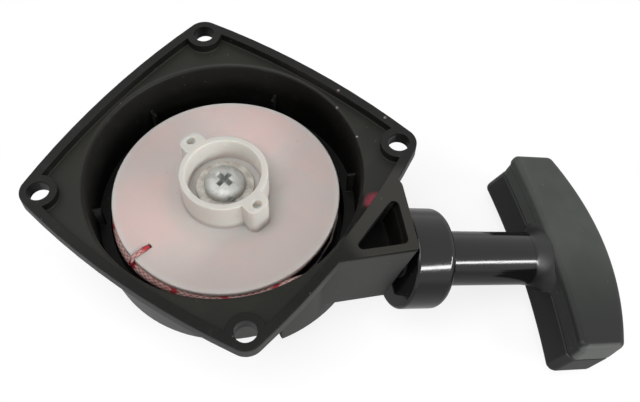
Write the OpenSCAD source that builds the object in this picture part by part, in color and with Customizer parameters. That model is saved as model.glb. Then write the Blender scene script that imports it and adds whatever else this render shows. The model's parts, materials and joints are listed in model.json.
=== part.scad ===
// Recoil starter of a small two-stroke engine: flanged housing, rope reel, recoil spring and pull handle.
// Millimetres. The origin is the centre of the bolt circle on the engine-side face, +Z points to the
// engine along the reel's axis, and +X is the direction in which the rope is pulled, seen from above.

/* [Flange] */
// Circle through the four mounting holes
bolt_circle_d = 102; // [90:1:130]
// Mounting hole
bolt_hole_d = 6.2; // [5:0.1:7.5]
// Wall round each mounting hole
boss_wall = 2.2; // [1.6:0.1:3]
// Rounding of the flange's corners, about each hole's centre
corner_r = 5.2; // [4.8:0.1:7]
// Least bulge of each side beyond the straight line between two corners
side_bow = 2.2; // [0.6:0.1:5]
// Height of the flange's edge
flange_t = 4.6; // [4:0.1:7]
// Width of the raised rim
rim_w = 2.8; // [2:0.1:4]
// Drop from the rim to the shelf inside it
shelf_drop = 3; // [1.5:0.1:3.2]

/* [Housing] */
// Thickness of the housing's floors
floor_t = 2.2; // [1.8:0.1:3]
// Room between the reel's edge and the wall of its well
well_gap = 5; // [4:0.1:8]
// Draft of the well's wall, from its floor to its mouth
well_draft = 1; // [0.4:0.1:2]
// Rounding of the well's mouth
well_lip_r = 1.4; // [0.8:0.1:3]
// Wall of the bowl round the well
bowl_wall = 2.8; // [2:0.1:4]
// Draft of the bowl's outer wall, from the flange to its back
bowl_draft = 3.6; // [1:0.1:4.5]
// Rounding of the bowl's back edge
bowl_edge_r = 2.5; // [1:0.1:4]
// Bearing at which the bowl swells to meet the rope block
swell_angle = -76; // [-84:1:-60]
// Ribs on the well's wall
rib_count = 6; // [3:1:12]
// Thickness of a rib
rib_t = 1; // [0.8:0.1:2]
// How far a rib stands in from the wall
rib_reach = 2; // [1:0.1:3]

/* [Reel] */
// Outside diameter of the reel
reel_d = 67; // [55:0.5:82]
// Depth of the reel's face below the rim
reel_drop = 13.4; // [12:0.1:18]
// Thickness of each of the reel's two discs
disc_t = 1.5; // [1.2:0.1:2.5]
// How much less the lower disc reaches than the upper one
lower_in = 1.8; // [0:0.1:3]
// Outside diameter of the reel's core between the discs
core_d = 22; // [21:0.5:26]
// Inside diameter of the drive ring
ring_id = 21.8; // [20:0.1:26]
// Wall of the drive ring
ring_wall = 1.9; // [1.4:0.1:3]
// Depth of the drive ring's top below the rim
ring_drop = 3; // [0.5:0.1:6]
// Bearing of the first drive lug
lug_angle = -57; // [-180:1:180]
// Width of a drive lug
lug_w = 7; // [5.5:0.1:9]
// Reach of a drive lug beyond the ring
lug_reach = 4; // [3.4:0.1:6]
// Pin hole in a drive lug
lug_hole_d = 2.8; // [2:0.1:3.2]
// Bearing of the winding slit in the upper disc
slit_angle = 212; // [180:1:240]
// Length of the winding slit, in from the edge
slit_l = 6.3; // [4:0.1:9]
// Width of the winding slit
slit_w = 1.7; // [1.2:0.1:2.6]

/* [Rope] */
// Diameter of the rope
rope_d = 3.2; // [2.6:0.1:3.9]
// How far the outer turn stands out past the upper disc
rope_proud = 0.9; // [-0.4:0.1:1.2]
// Room between neighbouring turns on the reel
turn_gap = 0.5; // [0.45:0.05:0.8]
// Room between the rope and each disc of the reel
groove_gap = 0.5; // [0.3:0.05:1]

/* [Spring] */
// Width of the spring strip
strip_w = 9.3; // [6:0.1:10]
// Thickness of the spring strip
strip_t = 0.5; // [0.3:0.05:0.7]
// Coils of the spring at rest
spring_turns = 7; // [5:1:8]
// Ledge between the reel's well and the spring's well
spring_ledge = 3.5; // [2.6:0.1:8]
// Wall of the arbor that winds the spring
arbor_wall = 2.8; // [2:0.1:4]

/* [Pivot] */
// Diameter of the post that carries the reel
post_d = 13; // [12:0.1:13.6]
// Thread of the centre screw
screw_d = 6; // [5:0.1:6.4]
// Head of the centre screw
screw_head_d = 12.2; // [10:0.1:14]
// Height of the centre screw's head
screw_head_h = 3.4; // [2.4:0.1:4.2]
// Length of the centre screw under its head
screw_l = 12; // [8:0.5:13]
// How far the retaining washer laps over the reel's bore
washer_lap = 1.7; // [1:0.1:2.6]
// Thickness of the retaining washer
washer_t = 1.2; // [0.8:0.1:1.6]

/* [Pull line] */
// Distance of the handle's seat beyond the bowl's wall
seat_out = 2.9; // [1:0.1:10]
// Distance of the pull line in from the reel's edge
line_in = 5.2; // [2:0.1:9]
// Fall of the pull line below the flange's plane
pull_droop = 17; // [5:0.5:25]
// Distance from the pull line to the rope block's front wall
block_half = 7.1; // [6:0.1:12]
// Depth of the three-cornered pocket in the rope block
pocket_depth = 10.5; // [4:0.1:12]
// Wall round the pocket
pocket_wall = 2.4; // [2:0.1:4]
// Outside diameter of the eyelet's flange
eyelet_flange_d = 11; // [9:0.1:14]
// Thickness of the eyelet's flange
eyelet_flange_t = 1.2; // [0.8:0.1:2]
// Length of the eyelet's barrel
eyelet_l = 5; // [3:0.1:7]

/* [Handle] */
// Diameter of the collar that seats against the housing
collar_d = 29; // [22:0.5:34]
// Length of the collar
collar_l = 12.5; // [8:0.5:18]
// Rounding of the collar's outer end
collar_round = 2.5; // [0.5:0.1:4]
// Diameter of the stem
stem_d = 16; // [13:0.1:16.4]
// Distance from the seat to the bar's inner face
reach = 47.9; // [36:0.1:60]
// Rounding between the stem and the bar
stem_fillet = 4; // [1:0.1:5]
// Length of the bar
bar_l = 67; // [54:0.5:84]
// Thickness of the bar
bar_t = 17; // [16.6:0.1:22]
// Depth of the bar at its ends
bar_end = 14.4; // [11:0.1:18]
// Extra depth of the bar at the palm
bar_crown = 7.6; // [4:0.1:12]
// How far the bar's ends bend back towards the collar
bar_arch = 2.4; // [0:0.1:4]
// How far the lower half's inner edge leans towards the collar
bar_lean = 2.6; // [0:0.1:4]
// Height of the lip along the bar's inner edge
lip_h = 3; // [2:0.1:4]
// Step of the lip
lip_step = 0.7; // [0.3:0.1:1.2]

/* [Fits] */
// Room between a fixed piece and the piece seated in it
fit = 0.1; // [0.05:0.01:0.2]
// Room between pieces that turn or slide on each other
play = 0.3; // [0.2:0.05:0.5]
// Room under the reel and round the spring
float_gap = 0.6; // [0.4:0.05:1.2]

/* [Hidden] */
$fn = 96;

// Small shared sizes: cutting overlap, broken edges, walls of pressed-in sleeves, rope clear of the core,
// height of the hub's floor over the reel's face, rope block below the well's floor
over = 1;
broken = 0.3;
sleeve_wall = 1.4;
rope_inset = 0.4;
hub_rise = 2;
block_below = 3.4;

// Heights, from the rim down
reel_r = reel_d / 2;
lower_r = reel_r - lower_in;
core_r = core_d / 2;
ring_r = ring_id / 2;
ring_outer_r = ring_r + ring_wall;
rope_r = rope_d / 2;
groove_w = rope_d + 2 * groove_gap;
groove_z = -reel_drop - disc_t - groove_w / 2;
groove_base_z = groove_z - groove_w / 2;
reel_base_z = groove_base_z - disc_t;
floor_z = reel_base_z - 2 * float_gap;
spring_z = floor_z - float_gap - strip_w;
spring_floor_z = spring_z - float_gap;
back_z = spring_floor_z - floor_t;
hub_floor_z = -reel_drop + hub_rise;
washer_z = hub_floor_z + play;
head_z = washer_z + washer_t;

// Plan sizes of the flange and the bowl
bolt_r = bolt_circle_d / 2;
boss_r = bolt_hole_d / 2 + boss_wall;
well_r = reel_r + well_gap;
well_top_r = well_r + well_draft;
well_mouth_r = well_top_r + well_lip_r;
bowl_r = well_top_r + bowl_wall;
spring_well_r = well_r - spring_ledge;
post_r = post_d / 2;
bore_r = post_r + play;
arbor_r = bore_r + arbor_wall;
washer_r = bore_r + washer_lap;
insert_r = screw_d / 2 + sleeve_wall;
half_side = bolt_r / sqrt(2);
shelf_least = 0.4;
side_mid = max(half_side + corner_r + side_bow, well_mouth_r + rim_w + shelf_least);

// Pull line: it follows the bowl's wall, the reel's edge and the reel's groove
pull_x = bowl_r + seat_out;
pull_y = line_in - reel_r;
pull_z = groove_z;
block_front = block_half - pull_y;
rope_hole_r = rope_r + 2 * play;
eyelet_r = rope_hole_r + sleeve_wall;
wall_s = -play - eyelet_flange_t;
bend_s = wall_s - eyelet_l;
block_base_z = floor_z - block_below;
block_near_a = 50;
block_far_a = 18;
swell_in = 0.2;
block_edge_r = 0.8;
block_round = 3;
pocket_clear = 1;
pocket_round = 1.4;
bend_ease = 1.5;

// Rope on the reel: flat spiral from the core past the disc's edge, which steps out past its anchor in the
// first part of a turn
turn_pitch = rope_d + turn_gap;
outer_turn_r = reel_r - rope_r + rope_proud;
inner_turn_r = core_r + rope_r + rope_inset;
first_step = 2.4;
first_turn = 0.3;
turns = (outer_turn_r - inner_turn_r - first_step) / turn_pitch;
rings_per_turn = 24;
rope_sides = 6;
lead_sides = 8;
anchor_t = 2.5;

// Spring coils
spring_outer_r = spring_well_r - float_gap - strip_t / 2;
spring_inner_r = arbor_r + float_gap + strip_t / 2;
spring_pitch = (spring_outer_r - spring_inner_r) / spring_turns;
spring_steps = 24;
tab_slot = strip_t + 2 * play;
tab_reach = 1.3;

// Handle
stem_r = stem_d / 2;
collar_r = collar_d / 2;
bar_half = bar_l / 2;
bar_h = bar_t / 2;
bar_face = reach + lip_step;
root_r = 1;
stem_seat = 2;
corner_round = 2.6;
belly_round = 1.3;
crown_round = 1.8;
palm_draft = 2.2;
parting = 0.4;
bar_steps = 8;
palm_steps = 12;
edge_step = 15;
flare_sides = 48;
knot_r = rope_d * 1.15;
knot_l = rope_d * 2.2;
knot_washer_t = 1;
knot_room = 1;
knot_wall = 2.6;
knot_pocket_r = knot_r + knot_room;
knot_pocket_s = bar_face + knot_wall;
knot_s = knot_pocket_s + play;
knot_pocket_l = knot_washer_t + knot_l + 4 * play;
peg_r = 1.6;
peg_l = 4;
peg_t = 0.6 * bar_half;
peg_s = bar_face + bar_end / 2;

function unit(v) = v / norm(v);
function arc(c, r, a0, a1, n) =
    [for (i = [0:n]) let (a = a0 + (a1 - a0) * i / n) c + r * [cos(a), sin(a)]];

// Arc of radius r in place of the corner b between a and c
function round_corner(a, b, c, r) =
    let (u = unit(a - b), v = unit(c - b), half = acos(u * v) / 2, m = b + unit(u + v) * r / sin(half),
         from = b + u * r / tan(half) - m, way = sign(u.y * v.x - u.x * v.y), a0 = atan2(from.y, from.x))
    arc(m, r, a0, a0 + way * (180 - 2 * half), 6);

function along_pull(s) = [pull_x + s * cos(pull_droop), pull_y, pull_z - s * sin(pull_droop)];

// Distance along the pull line of the leaning wall that meets the rim's plane at x, and the other way round
function top_s(x) = (x - pull_x) * cos(pull_droop) + pull_z * sin(pull_droop);
function top_x(s) = pull_x + (s - pull_z * sin(pull_droop)) / cos(pull_droop);

// The rope leaves the outer turn along the tangent that reaches the eyelet
bend_point = along_pull(bend_s);
bend_plan = [bend_point.x, bend_point.y];
leave_angle = atan2(bend_plan.y, bend_plan.x) - acos(outer_turn_r / norm(bend_plan));
leave_dir = [-sin(leave_angle), cos(leave_angle), 0];
leave_point = concat(outer_turn_r * [cos(leave_angle), sin(leave_angle)], [groove_z]);
winding_end = leave_point + rope_d * leave_dir;

// Past the discs' edge it rises to the eyelet
clear_point = leave_point + sqrt((reel_r + rope_r) ^ 2 - outer_turn_r ^ 2) * leave_dir;
lead_dir = unit(bend_point - clear_point);

// Flange outline: four corner arcs joined by shallow side arcs that touch them
function side_centre(mid, r) = (2 * half_side ^ 2 - (mid - r) ^ 2) / (2 * (mid - r - half_side));
function side_angle(mid, r) =
    let (d = side_centre(mid, r) / sqrt(2)) atan2(d, bolt_r + d);
function flange_outline(inset) =
    let (mid = side_mid - inset, r = corner_r - inset, d = side_centre(mid, r), a = side_angle(mid, r))
    [for (k = [0:3]) each concat(
        arc(bolt_r * [cos(90 * k), sin(90 * k)], r, 90 * k - a, 90 * k + a, 10),
        arc(-d * [cos(90 * k + 45), sin(90 * k + 45)], d + mid, 90 * k + a + (90 - 2 * a) / 10,
            90 * k + 90 - a - (90 - 2 * a) / 10, 8))];

module at_holes() {
    for (k = [0:3]) rotate(90 * k) translate([bolt_r, 0, 0]) children();
}

module pull_frame() {
    translate([pull_x, pull_y, pull_z]) rotate([0, pull_droop, 0]) children();
}

// A solid of revolution about the pull line, from points [radius, distance along the line]
module pull_turned(points) {
    pull_frame() rotate([0, 90, 0]) rotate_extrude() polygon(points);
}

module between(a, b, r) {
    d = b - a;
    translate(a) rotate([0, acos(d.z / norm(d)), atan2(d.y, d.x)]) cylinder(r = r, h = norm(d));
}

// Closed solid through a list of rings with the same number of points
module skin(rings) {
    n = len(rings[0]);
    last = len(rings) - 1;
    middle = function (ring) [for (axis = [0:2]) [for (p = ring) p[axis]] * [for (p = ring) 1 / n]];
    start = (last + 1) * n;
    polyhedron(
        points = concat([for (ring = rings) each ring], [middle(rings[0]), middle(rings[last])]),
        faces = concat(
            [for (i = [0:n - 1]) [start, i, (i + 1) % n]],
            [for (i = [0:n - 1]) [start + 1, last * n + (i + 1) % n, last * n + i]],
            [for (k = [0:last - 1], i = [0:n - 1]) each
                let (a = k * n + i, b = k * n + (i + 1) % n) [[a, b + n, b], [a, a + n, b + n]]]));
}

// Rings of a round tube along a route, square to the route at both ends
function tube_rings(route, r, sides) =
    [for (i = [0:len(route) - 1])
        let (before = route[max(i - 1, 0)], after = route[min(i + 1, len(route) - 1)],
             d = unit(after - before), u = unit(cross([0, 0, 1], d)), v = cross(d, u))
        [for (k = [0:sides - 1]) route[i] + r * (cos(360 * k / sides) * u + sin(360 * k / sides) * v)]];

// Round bowl that narrows from the flange to its back
module bowl_form(top_r, foot_r, base_z) {
    rotate_extrude() polygon(concat(
        [[0, base_z]],
        arc([foot_r - bowl_edge_r, base_z + bowl_edge_r], bowl_edge_r, -90, 0, 7),
        [[top_r, -shelf_drop - broken], [0, -shelf_drop - broken]]));
}

// Part of the bowl beside the rope block that keeps its full width down to the back
module bowl_swell() {
    r = bowl_r - swell_in;
    far = 2 * bowl_r;
    intersection() {
        bowl_form(r, r, back_z + swell_in);
        translate([0, 0, back_z - over]) linear_extrude(-back_z - shelf_drop) polygon([
            [0, 0], far * [cos(swell_angle), sin(swell_angle)], far * [1, -1],
            far * [cos(block_far_a), -sin(block_far_a)]]);
    }
}

// Block beside the bowl whose end wall leans with the pull line
module block_form() {
    back = well_r * sin(block_far_a);
    near = top_s(well_r * cos(block_near_a));
    intersection() {
        pull_frame() linear_extrude(bolt_circle_d, center = true) polygon(concat(
            [[near, -back - pull_y], [near, -block_half]],
            round_corner([near, -block_half], [wall_s, -block_half], [wall_s, 0], block_edge_r),
            round_corner([wall_s, 0], [wall_s, -back - pull_y], [near, -back - pull_y], block_round)));
        translate([0, -bolt_circle_d, block_base_z]) cube([bolt_circle_d, bolt_circle_d, -block_base_z]);
    }
}

// Three-cornered pocket that keeps the block's walls even, sunk along the leaning wall
module block_pocket() {
    slope = sqrt(2) * (side_mid + pocket_clear);
    right = wall_s - pocket_wall;
    front = block_half - pocket_wall;
    far = [right, top_x(right) - slope - pull_y];
    near = [top_s(slope - front + pull_y), -front];
    corner = [right, -front];
    pull_frame() translate([0, 0, -pull_z * cos(pull_droop) - pocket_depth]) linear_extrude(bolt_circle_d)
        polygon(concat(
            round_corner(corner, far, near, pocket_round),
            round_corner(far, near, corner, pocket_round),
            round_corner(near, corner, far, pocket_round)));
}

module well_cut() {
    rotate_extrude() polygon(concat(
        [[0, spring_floor_z], [spring_well_r, spring_floor_z], [spring_well_r, floor_z], [well_r, floor_z]],
        arc([well_mouth_r, -shelf_drop - well_lip_r], well_lip_r, 180, 90, 6),
        [[well_mouth_r, over], [0, over]]));
}

module rim_recess() {
    translate([0, 0, -shelf_drop]) linear_extrude(shelf_drop + over) difference() {
        polygon(flange_outline(rim_w));
        at_holes() circle(boss_r);
    }
}

module rope_passage() {
    between(clear_point - rope_d * lead_dir, bend_point + lead_dir, rope_hole_r + play);
    pull_turned([[0, bend_s], [eyelet_r + fit, bend_s], [eyelet_r + fit, over], [0, over]]);
}

module spring_notch() {
    rotate(90) translate([spring_well_r - over, -tab_slot / 2, spring_floor_z])
        cube([over + tab_reach + play, tab_slot, floor_z - spring_floor_z]);
}

module housing() {
    color([0.16, 0.17, 0.16]) difference() {
        union() {
            difference() {
                union() {
                    translate([0, 0, -flange_t]) linear_extrude(flange_t) polygon(flange_outline(0));
                    bowl_form(bowl_r, bowl_r - bowl_draft, back_z);
                    bowl_swell();
                    block_form();
                }
                well_cut();
                rim_recess();
            }
            translate([0, 0, spring_floor_z - over])
                cylinder(r = post_r, h = washer_z - spring_floor_z + over);
            for (k = [0:rib_count - 1]) rotate(360 * k / rib_count)
                translate([well_r - rib_reach, -rib_t / 2, floor_z - over])
                    cube([rib_reach + well_draft, rib_t, -reel_drop - floor_z + over]);
        }
        at_holes() translate([0, 0, -flange_t - over]) cylinder(d = bolt_hole_d, h = flange_t + 2 * over);
        block_pocket();
        rope_passage();
        spring_notch();
        translate([0, 0, washer_z - screw_l]) cylinder(r = insert_r + fit, h = screw_l + over);
    }
}

module rope_eyelet() {
    flare = 0.6 * sleeve_wall;
    flange_r = eyelet_flange_d / 2;
    color([0.62, 0.62, 0.60]) pull_turned([
        [rope_hole_r + flare, bend_s + fit], [eyelet_r, bend_s + fit], [eyelet_r, wall_s], [flange_r, wall_s],
        [flange_r, -play - broken], [flange_r - broken, -play], [rope_hole_r + flare, -play],
        [rope_hole_r, -play - flare], [rope_hole_r, bend_s + fit + flare]]);
}

module threaded_insert() {
    color([0.72, 0.56, 0.25]) translate([0, 0, washer_z - screw_l + fit]) difference() {
        cylinder(r = insert_r, h = screw_l - fit);
        translate([0, 0, -over]) cylinder(d = screw_d, h = screw_l + 2 * over);
    }
}

module retaining_washer() {
    color([0.72, 0.71, 0.66]) translate([0, 0, washer_z]) difference() {
        cylinder(r = washer_r, h = washer_t);
        translate([0, 0, -over]) cylinder(d = screw_d + 2 * fit, h = washer_t + 2 * over);
    }
}

module centre_screw() {
    head_r = screw_head_d / 2;
    recess_w = 1.6;
    recess_l = 6.4;
    recess_turn = 40;
    edge_h = 0.85;
    crown_h = screw_head_h - edge_h;
    color([0.74, 0.75, 0.74]) difference() {
        union() {
            translate([0, 0, head_z]) rotate_extrude() polygon(concat(
                [[0, 0], [head_r, 0]],
                [for (a = [0:15:90]) [head_r * cos(a), edge_h + crown_h * sin(a)]]));
            translate([0, 0, head_z - screw_l]) cylinder(d = screw_d, h = screw_l + fit);
        }
        for (a = [0, 90]) rotate(a + recess_turn)
            translate([-recess_l / 2, -recess_w / 2, head_z + edge_h])
                cube([recess_l, recess_w, screw_head_h]);
    }
}

// Spiral strip with a tab at each end, the inner one in the arbor and the outer one in the housing
module recoil_spring() {
    n = spring_turns * spring_steps;
    function coil(i, side) =
        let (u = i / spring_steps, r = spring_inner_r + spring_pitch * u + side * strip_t / 2)
        r * [cos(90 + 360 * u), sin(90 + 360 * u)];
    color([0.45, 0.47, 0.50]) translate([0, 0, spring_z]) linear_extrude(strip_w) union() {
        polygon(concat([for (i = [0:n]) coil(i, 1)], [for (i = [n:-1:0]) coil(i, -1)]));
        rotate(90) translate([arbor_r - tab_reach, -strip_t / 2])
            square([spring_inner_r + strip_t / 2 - arbor_r + tab_reach, strip_t]);
        rotate(90) translate([spring_outer_r - strip_t / 2, -strip_t / 2])
            square([spring_well_r + tab_reach - spring_outer_r + strip_t / 2, strip_t]);
    }
}

module rope_lead() {
    route = [winding_end, clear_point, bend_point - bend_ease * lead_dir,
             along_pull(bend_s + bend_ease), along_pull(wall_s / 2), along_pull(0)];
    color([0.86, 0.76, 0.74]) skin(tube_rings(route, rope_r, lead_sides));
}

module reel() {
    anchor_angle = leave_angle - 360 * turns;
    color([0.90, 0.84, 0.82]) difference() {
        union() {
            rotate_extrude() polygon([
                [bore_r, spring_z], [arbor_r, spring_z], [arbor_r, reel_base_z],
                [lower_r - broken, reel_base_z], [lower_r, reel_base_z + broken], [lower_r, groove_base_z],
                [core_r, groove_base_z], [core_r, groove_base_z + groove_w],
                [reel_r, groove_base_z + groove_w], [reel_r, -reel_drop - broken],
                [reel_r - broken, -reel_drop],
                [ring_outer_r + 2 * broken, -reel_drop], [ring_outer_r, -reel_drop + 2 * broken],
                [ring_outer_r, -ring_drop - broken], [ring_outer_r - broken, -ring_drop],
                [ring_r + broken, -ring_drop], [ring_r, -ring_drop - broken], [ring_r, hub_floor_z],
                [bore_r, hub_floor_z]]);
            for (k = [0:1]) rotate(lug_angle + 180 * k) drive_lug();
            rotate(anchor_angle) rope_anchor();
        }
        for (k = [0:1]) rotate(lug_angle + 180 * k)
            translate([ring_outer_r + lug_reach / 2, 0, -ring_drop - lug_hole_d])
                cylinder(d = lug_hole_d, h = lug_hole_d + over);
        rotate(slit_angle) translate([reel_r - slit_l, -slit_w / 2, -reel_drop - disc_t - groove_gap / 2])
            cube([slit_l + over, slit_w, disc_t + groove_gap / 2 + over]);
        rotate(anchor_angle) translate([inner_turn_r, 0, groove_z]) rotate([90, 0, 0])
            cylinder(r = rope_r + fit, h = 4 * rope_d, center = true);
        rotate(90) translate([arbor_r - tab_reach - play, -tab_slot / 2, spring_z - over])
            cube([tab_reach + play + over, tab_slot, reel_base_z - spring_z + over - float_gap]);
    }
}

// Ear on the drive ring that the engine's pawls push against
module drive_lug() {
    round_r = 2;
    end = ring_outer_r + lug_reach;
    base_z = -reel_drop - disc_t / 2;
    translate([0, 0, base_z]) linear_extrude(-ring_drop - base_z) polygon(concat(
        [[ring_r + ring_wall / 2, -lug_w / 2]],
        arc([end - round_r, -lug_w / 2 + round_r], round_r, -90, 0, 5),
        arc([end - round_r, lug_w / 2 - round_r], round_r, 0, 90, 5),
        [[ring_r + ring_wall / 2, lug_w / 2]]));
}

// Wall across the groove that the rope's inner end is knotted behind
module rope_anchor() {
    translate([core_r - over, -rope_d - anchor_t, groove_base_z - broken])
        cube([inner_turn_r + rope_r + turn_gap - core_r + over, anchor_t, groove_w + 2 * broken]);
}

// Route of the wound rope, from the anchor at the core out to the tangent, one straight diameter at each end
winding_steps = ceil(turns * rings_per_turn);
winding_start = leave_angle - 360 * turns;
winding_in = [-sin(winding_start), cos(winding_start), 0];
winding_from = [inner_turn_r * cos(winding_start), inner_turn_r * sin(winding_start), groove_z];
function eased(x) = let (y = min(x, 1)) y * y * (3 - 2 * y);
function winding_r(u) = inner_turn_r + turn_pitch * u + first_step * eased(u / first_turn);
winding_route = concat(
    [winding_from - (rope_d + anchor_t) * winding_in],
    [for (i = [0:winding_steps])
        let (u = turns * i / winding_steps, a = winding_start + 360 * u)
        [winding_r(u) * cos(a), winding_r(u) * sin(a), groove_z]],
    [winding_end]);
far_apart = rings_per_turn / 2;
winding_last = len(winding_route) - 1;
winding_gap = min([for (i = [0:winding_last - far_apart], j = [i + far_apart:winding_last])
    norm(winding_route[i] - winding_route[j])]) - rope_d;
winding_lengths = [for (i = [1:winding_last]) norm(winding_route[i] - winding_route[i - 1])];
winding_l = winding_lengths * [for (l = winding_lengths) 1];

module rope_winding() {
    echo(least_gap_between_turns = winding_gap, wound_length = winding_l, turns = turns);
    color([0.88, 0.74, 0.72]) skin(tube_rings(winding_route, rope_r, rope_sides));
}

module reel_knot() {
    knot_in_r = groove_w / 2 - play;
    neck = 0.7 * rope_r;
    color([0.82, 0.62, 0.60]) rotate(winding_start)
        translate([core_r + knot_in_r + play, -rope_d - anchor_t, groove_z]) rotate([90, 0, 0])
            rotate_extrude() polygon(concat(
                [[0, 0], [knot_in_r - 2 * broken, 0], [knot_in_r, 2 * broken]],
                arc([0, neck], knot_in_r, 0, 90, 6)));
}

module rope_run() {
    steps = 6;
    route = [for (i = [0:steps]) along_pull((knot_s + knot_washer_t) * i / steps)];
    color([0.86, 0.76, 0.74]) skin(tube_rings(route, rope_r, lead_sides));
}

module knot_washer() {
    color([0.66, 0.67, 0.66]) pull_turned([
        [rope_r + fit, knot_s], [knot_r, knot_s],
        [knot_r, knot_s + knot_washer_t], [rope_r + fit, knot_s + knot_washer_t]]);
}

module handle_knot() {
    s0 = knot_s + knot_washer_t;
    color([0.82, 0.62, 0.60]) pull_turned(concat(
        [[0, s0]],
        [for (a = [30:15:150]) [knot_r * sin(a), s0 + knot_l * (0.5 - 0.5 * cos(a) / cos(30))]],
        [[0, s0 + knot_l]]));
}

// Outline of the bar seen along its thickness: arched inner edge, bowed palm side, round corners
function bar_outline(inset, face, palm) =
    let (half = bar_half - inset, r = max(corner_round - inset, root_r), least = r - half,
         inner_s = function (t) face + inset - bar_arch * (t / bar_half) ^ 2,
         palm_s = function (t)
             bar_face - bar_arch + bar_end - inset - palm + bar_crown * (1 - (t / half) ^ 2),
         lean = function (t) atan(2 * bar_crown * t / half ^ 2),
         t1 = half - r + r * sin(lean(half - r)), a = lean(t1), turn = (90 - a) / bar_steps,
         c = palm_s(t1) - r * cos(a), s0 = inner_s(least) + r)
    concat(
        [for (i = [-palm_steps:palm_steps]) let (t = t1 * i / palm_steps) [palm_s(t), t]],
        arc([c, -least], r, a + turn, 90, bar_steps - 1),
        arc([s0, -least], r, 90, 180, bar_steps),
        [for (i = [palm_steps - 1:-1:1 - palm_steps]) let (t = -least * i / palm_steps) [inner_s(t), t]],
        arc([s0, least], r, 180, 270, bar_steps),
        arc([c, least], r, 270, 360 - a - turn, bar_steps - 1));

// Ring of the bar at height h, with both sides leaning to the collar below the parting line
function bar_ring(h, inset, face) =
    let (low = max(-h, 0) / bar_h)
    [for (p = bar_outline(inset, face - bar_lean * low, palm_draft * low)) [p.x, p.y, h]];

module stem_form() {
    hole = rope_hole_r;
    pull_turned(concat(
        [[hole, 2 * broken], [hole + 2 * broken, 0], [collar_r - 2 * broken, 0], [collar_r, 2 * broken]],
        arc([collar_r - collar_round, collar_l - collar_round], collar_round, 0, 90, 6),
        arc([stem_r + root_r, collar_l + root_r], root_r, 270, 180, 4),
        [[stem_r, bar_face + stem_seat], [hole, bar_face + stem_seat]]));
}

// Sideways flare that rounds the stem into the bar
module stem_flare() {
    half_h = 0.9 * stem_r;
    sunk = 0.2;
    rings = concat(
        [[bar_face - stem_fillet - over, stem_r - 2 * sunk]],
        [for (a = [0:edge_step:90])
            [bar_face - stem_fillet * (1 - sin(a)), stem_r - sunk + stem_fillet * (1 - cos(a))]],
        [[bar_face + stem_seat, stem_r - sunk + stem_fillet]]);
    pull_frame() skin([for (ring = rings) [for (k = [0:flare_sides - 1])
        let (a = 360 * k / flare_sides) [ring[0], ring[1] * cos(a), half_h * sin(a)]]]);
}

// Room that the stem leaves for the upper half of the bar
module cover_room() {
    top = bar_h - lip_h - fit;
    pull_frame() skin([
        bar_ring(0, -fit, bar_face), bar_ring(top - parting, -fit, bar_face), bar_ring(top, -fit, reach),
        bar_ring(bar_h + over, -fit, reach)]);
}

module knot_pocket() {
    end = knot_pocket_s + knot_pocket_l;
    start = bar_face - stem_fillet - over;
    pull_turned([[0, start], [rope_hole_r, start], [rope_hole_r, knot_pocket_s],
        [knot_pocket_r, knot_pocket_s], [knot_pocket_r, end], [0, end]]);
}

// Handle moulding: seating collar, stem and the lower half of the bar
module handle_grip() {
    color([0.10, 0.11, 0.11]) difference() {
        union() {
            difference() {
                union() {
                    stem_form();
                    stem_flare();
                }
                cover_room();
            }
            pull_frame() skin(concat(
                [for (a = [0:edge_step:90])
                    bar_ring(-bar_h + belly_round * (1 - cos(a)), belly_round * (1 - sin(a)), bar_face)],
                [bar_ring(-parting, 0, bar_face), bar_ring(0, parting, bar_face)]));
        }
        knot_pocket();
        pull_frame() for (t = [-peg_t, peg_t])
            translate([peg_s, t, -peg_l - play]) cylinder(r = peg_r + fit, h = peg_l + play + over);
    }
}

// Upper half of the bar, pressed on with two pegs over the knot
module handle_cover() {
    color([0.20, 0.22, 0.20]) difference() {
        union() {
            pull_frame() skin(concat(
                [bar_ring(0, parting, bar_face), bar_ring(parting, 0, bar_face)],
                [bar_ring(bar_h - lip_h - parting, 0, bar_face), bar_ring(bar_h - lip_h, 0, reach)],
                [for (a = [90:-edge_step:0])
                    bar_ring(bar_h - crown_round * (1 - cos(a)), crown_round * (1 - sin(a)), reach)]));
            pull_frame() for (t = [-peg_t, peg_t])
                translate([peg_s, t, -peg_l]) cylinder(r = peg_r, h = peg_l + over);
        }
        knot_pocket();
    }
}

housing();
rope_eyelet();
threaded_insert();
retaining_washer();
centre_screw();
recoil_spring();
rope_lead();
reel();
rope_winding();
reel_knot();
rope_run();
knot_washer();
handle_knot();
handle_grip();
handle_cover();
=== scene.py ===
"""Recoil starter of a small engine: finishes, rope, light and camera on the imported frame.

Everything is in metres in the CAD model's frame. The origin is the centre of the bolt circle on the
engine-side face and +Z points to the engine. The rope is pulled along +X, 17 degrees down from it.
"""
import json
import logging
import math
from contextlib import contextmanager
from dataclasses import dataclass, field
from enum import Enum
from typing import Callable, Iterator, Optional, Sequence, Union

import bmesh
import bpy
import numpy as np
from mathutils import Matrix, Vector
from mathutils.bvhtree import BVHTree


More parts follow.
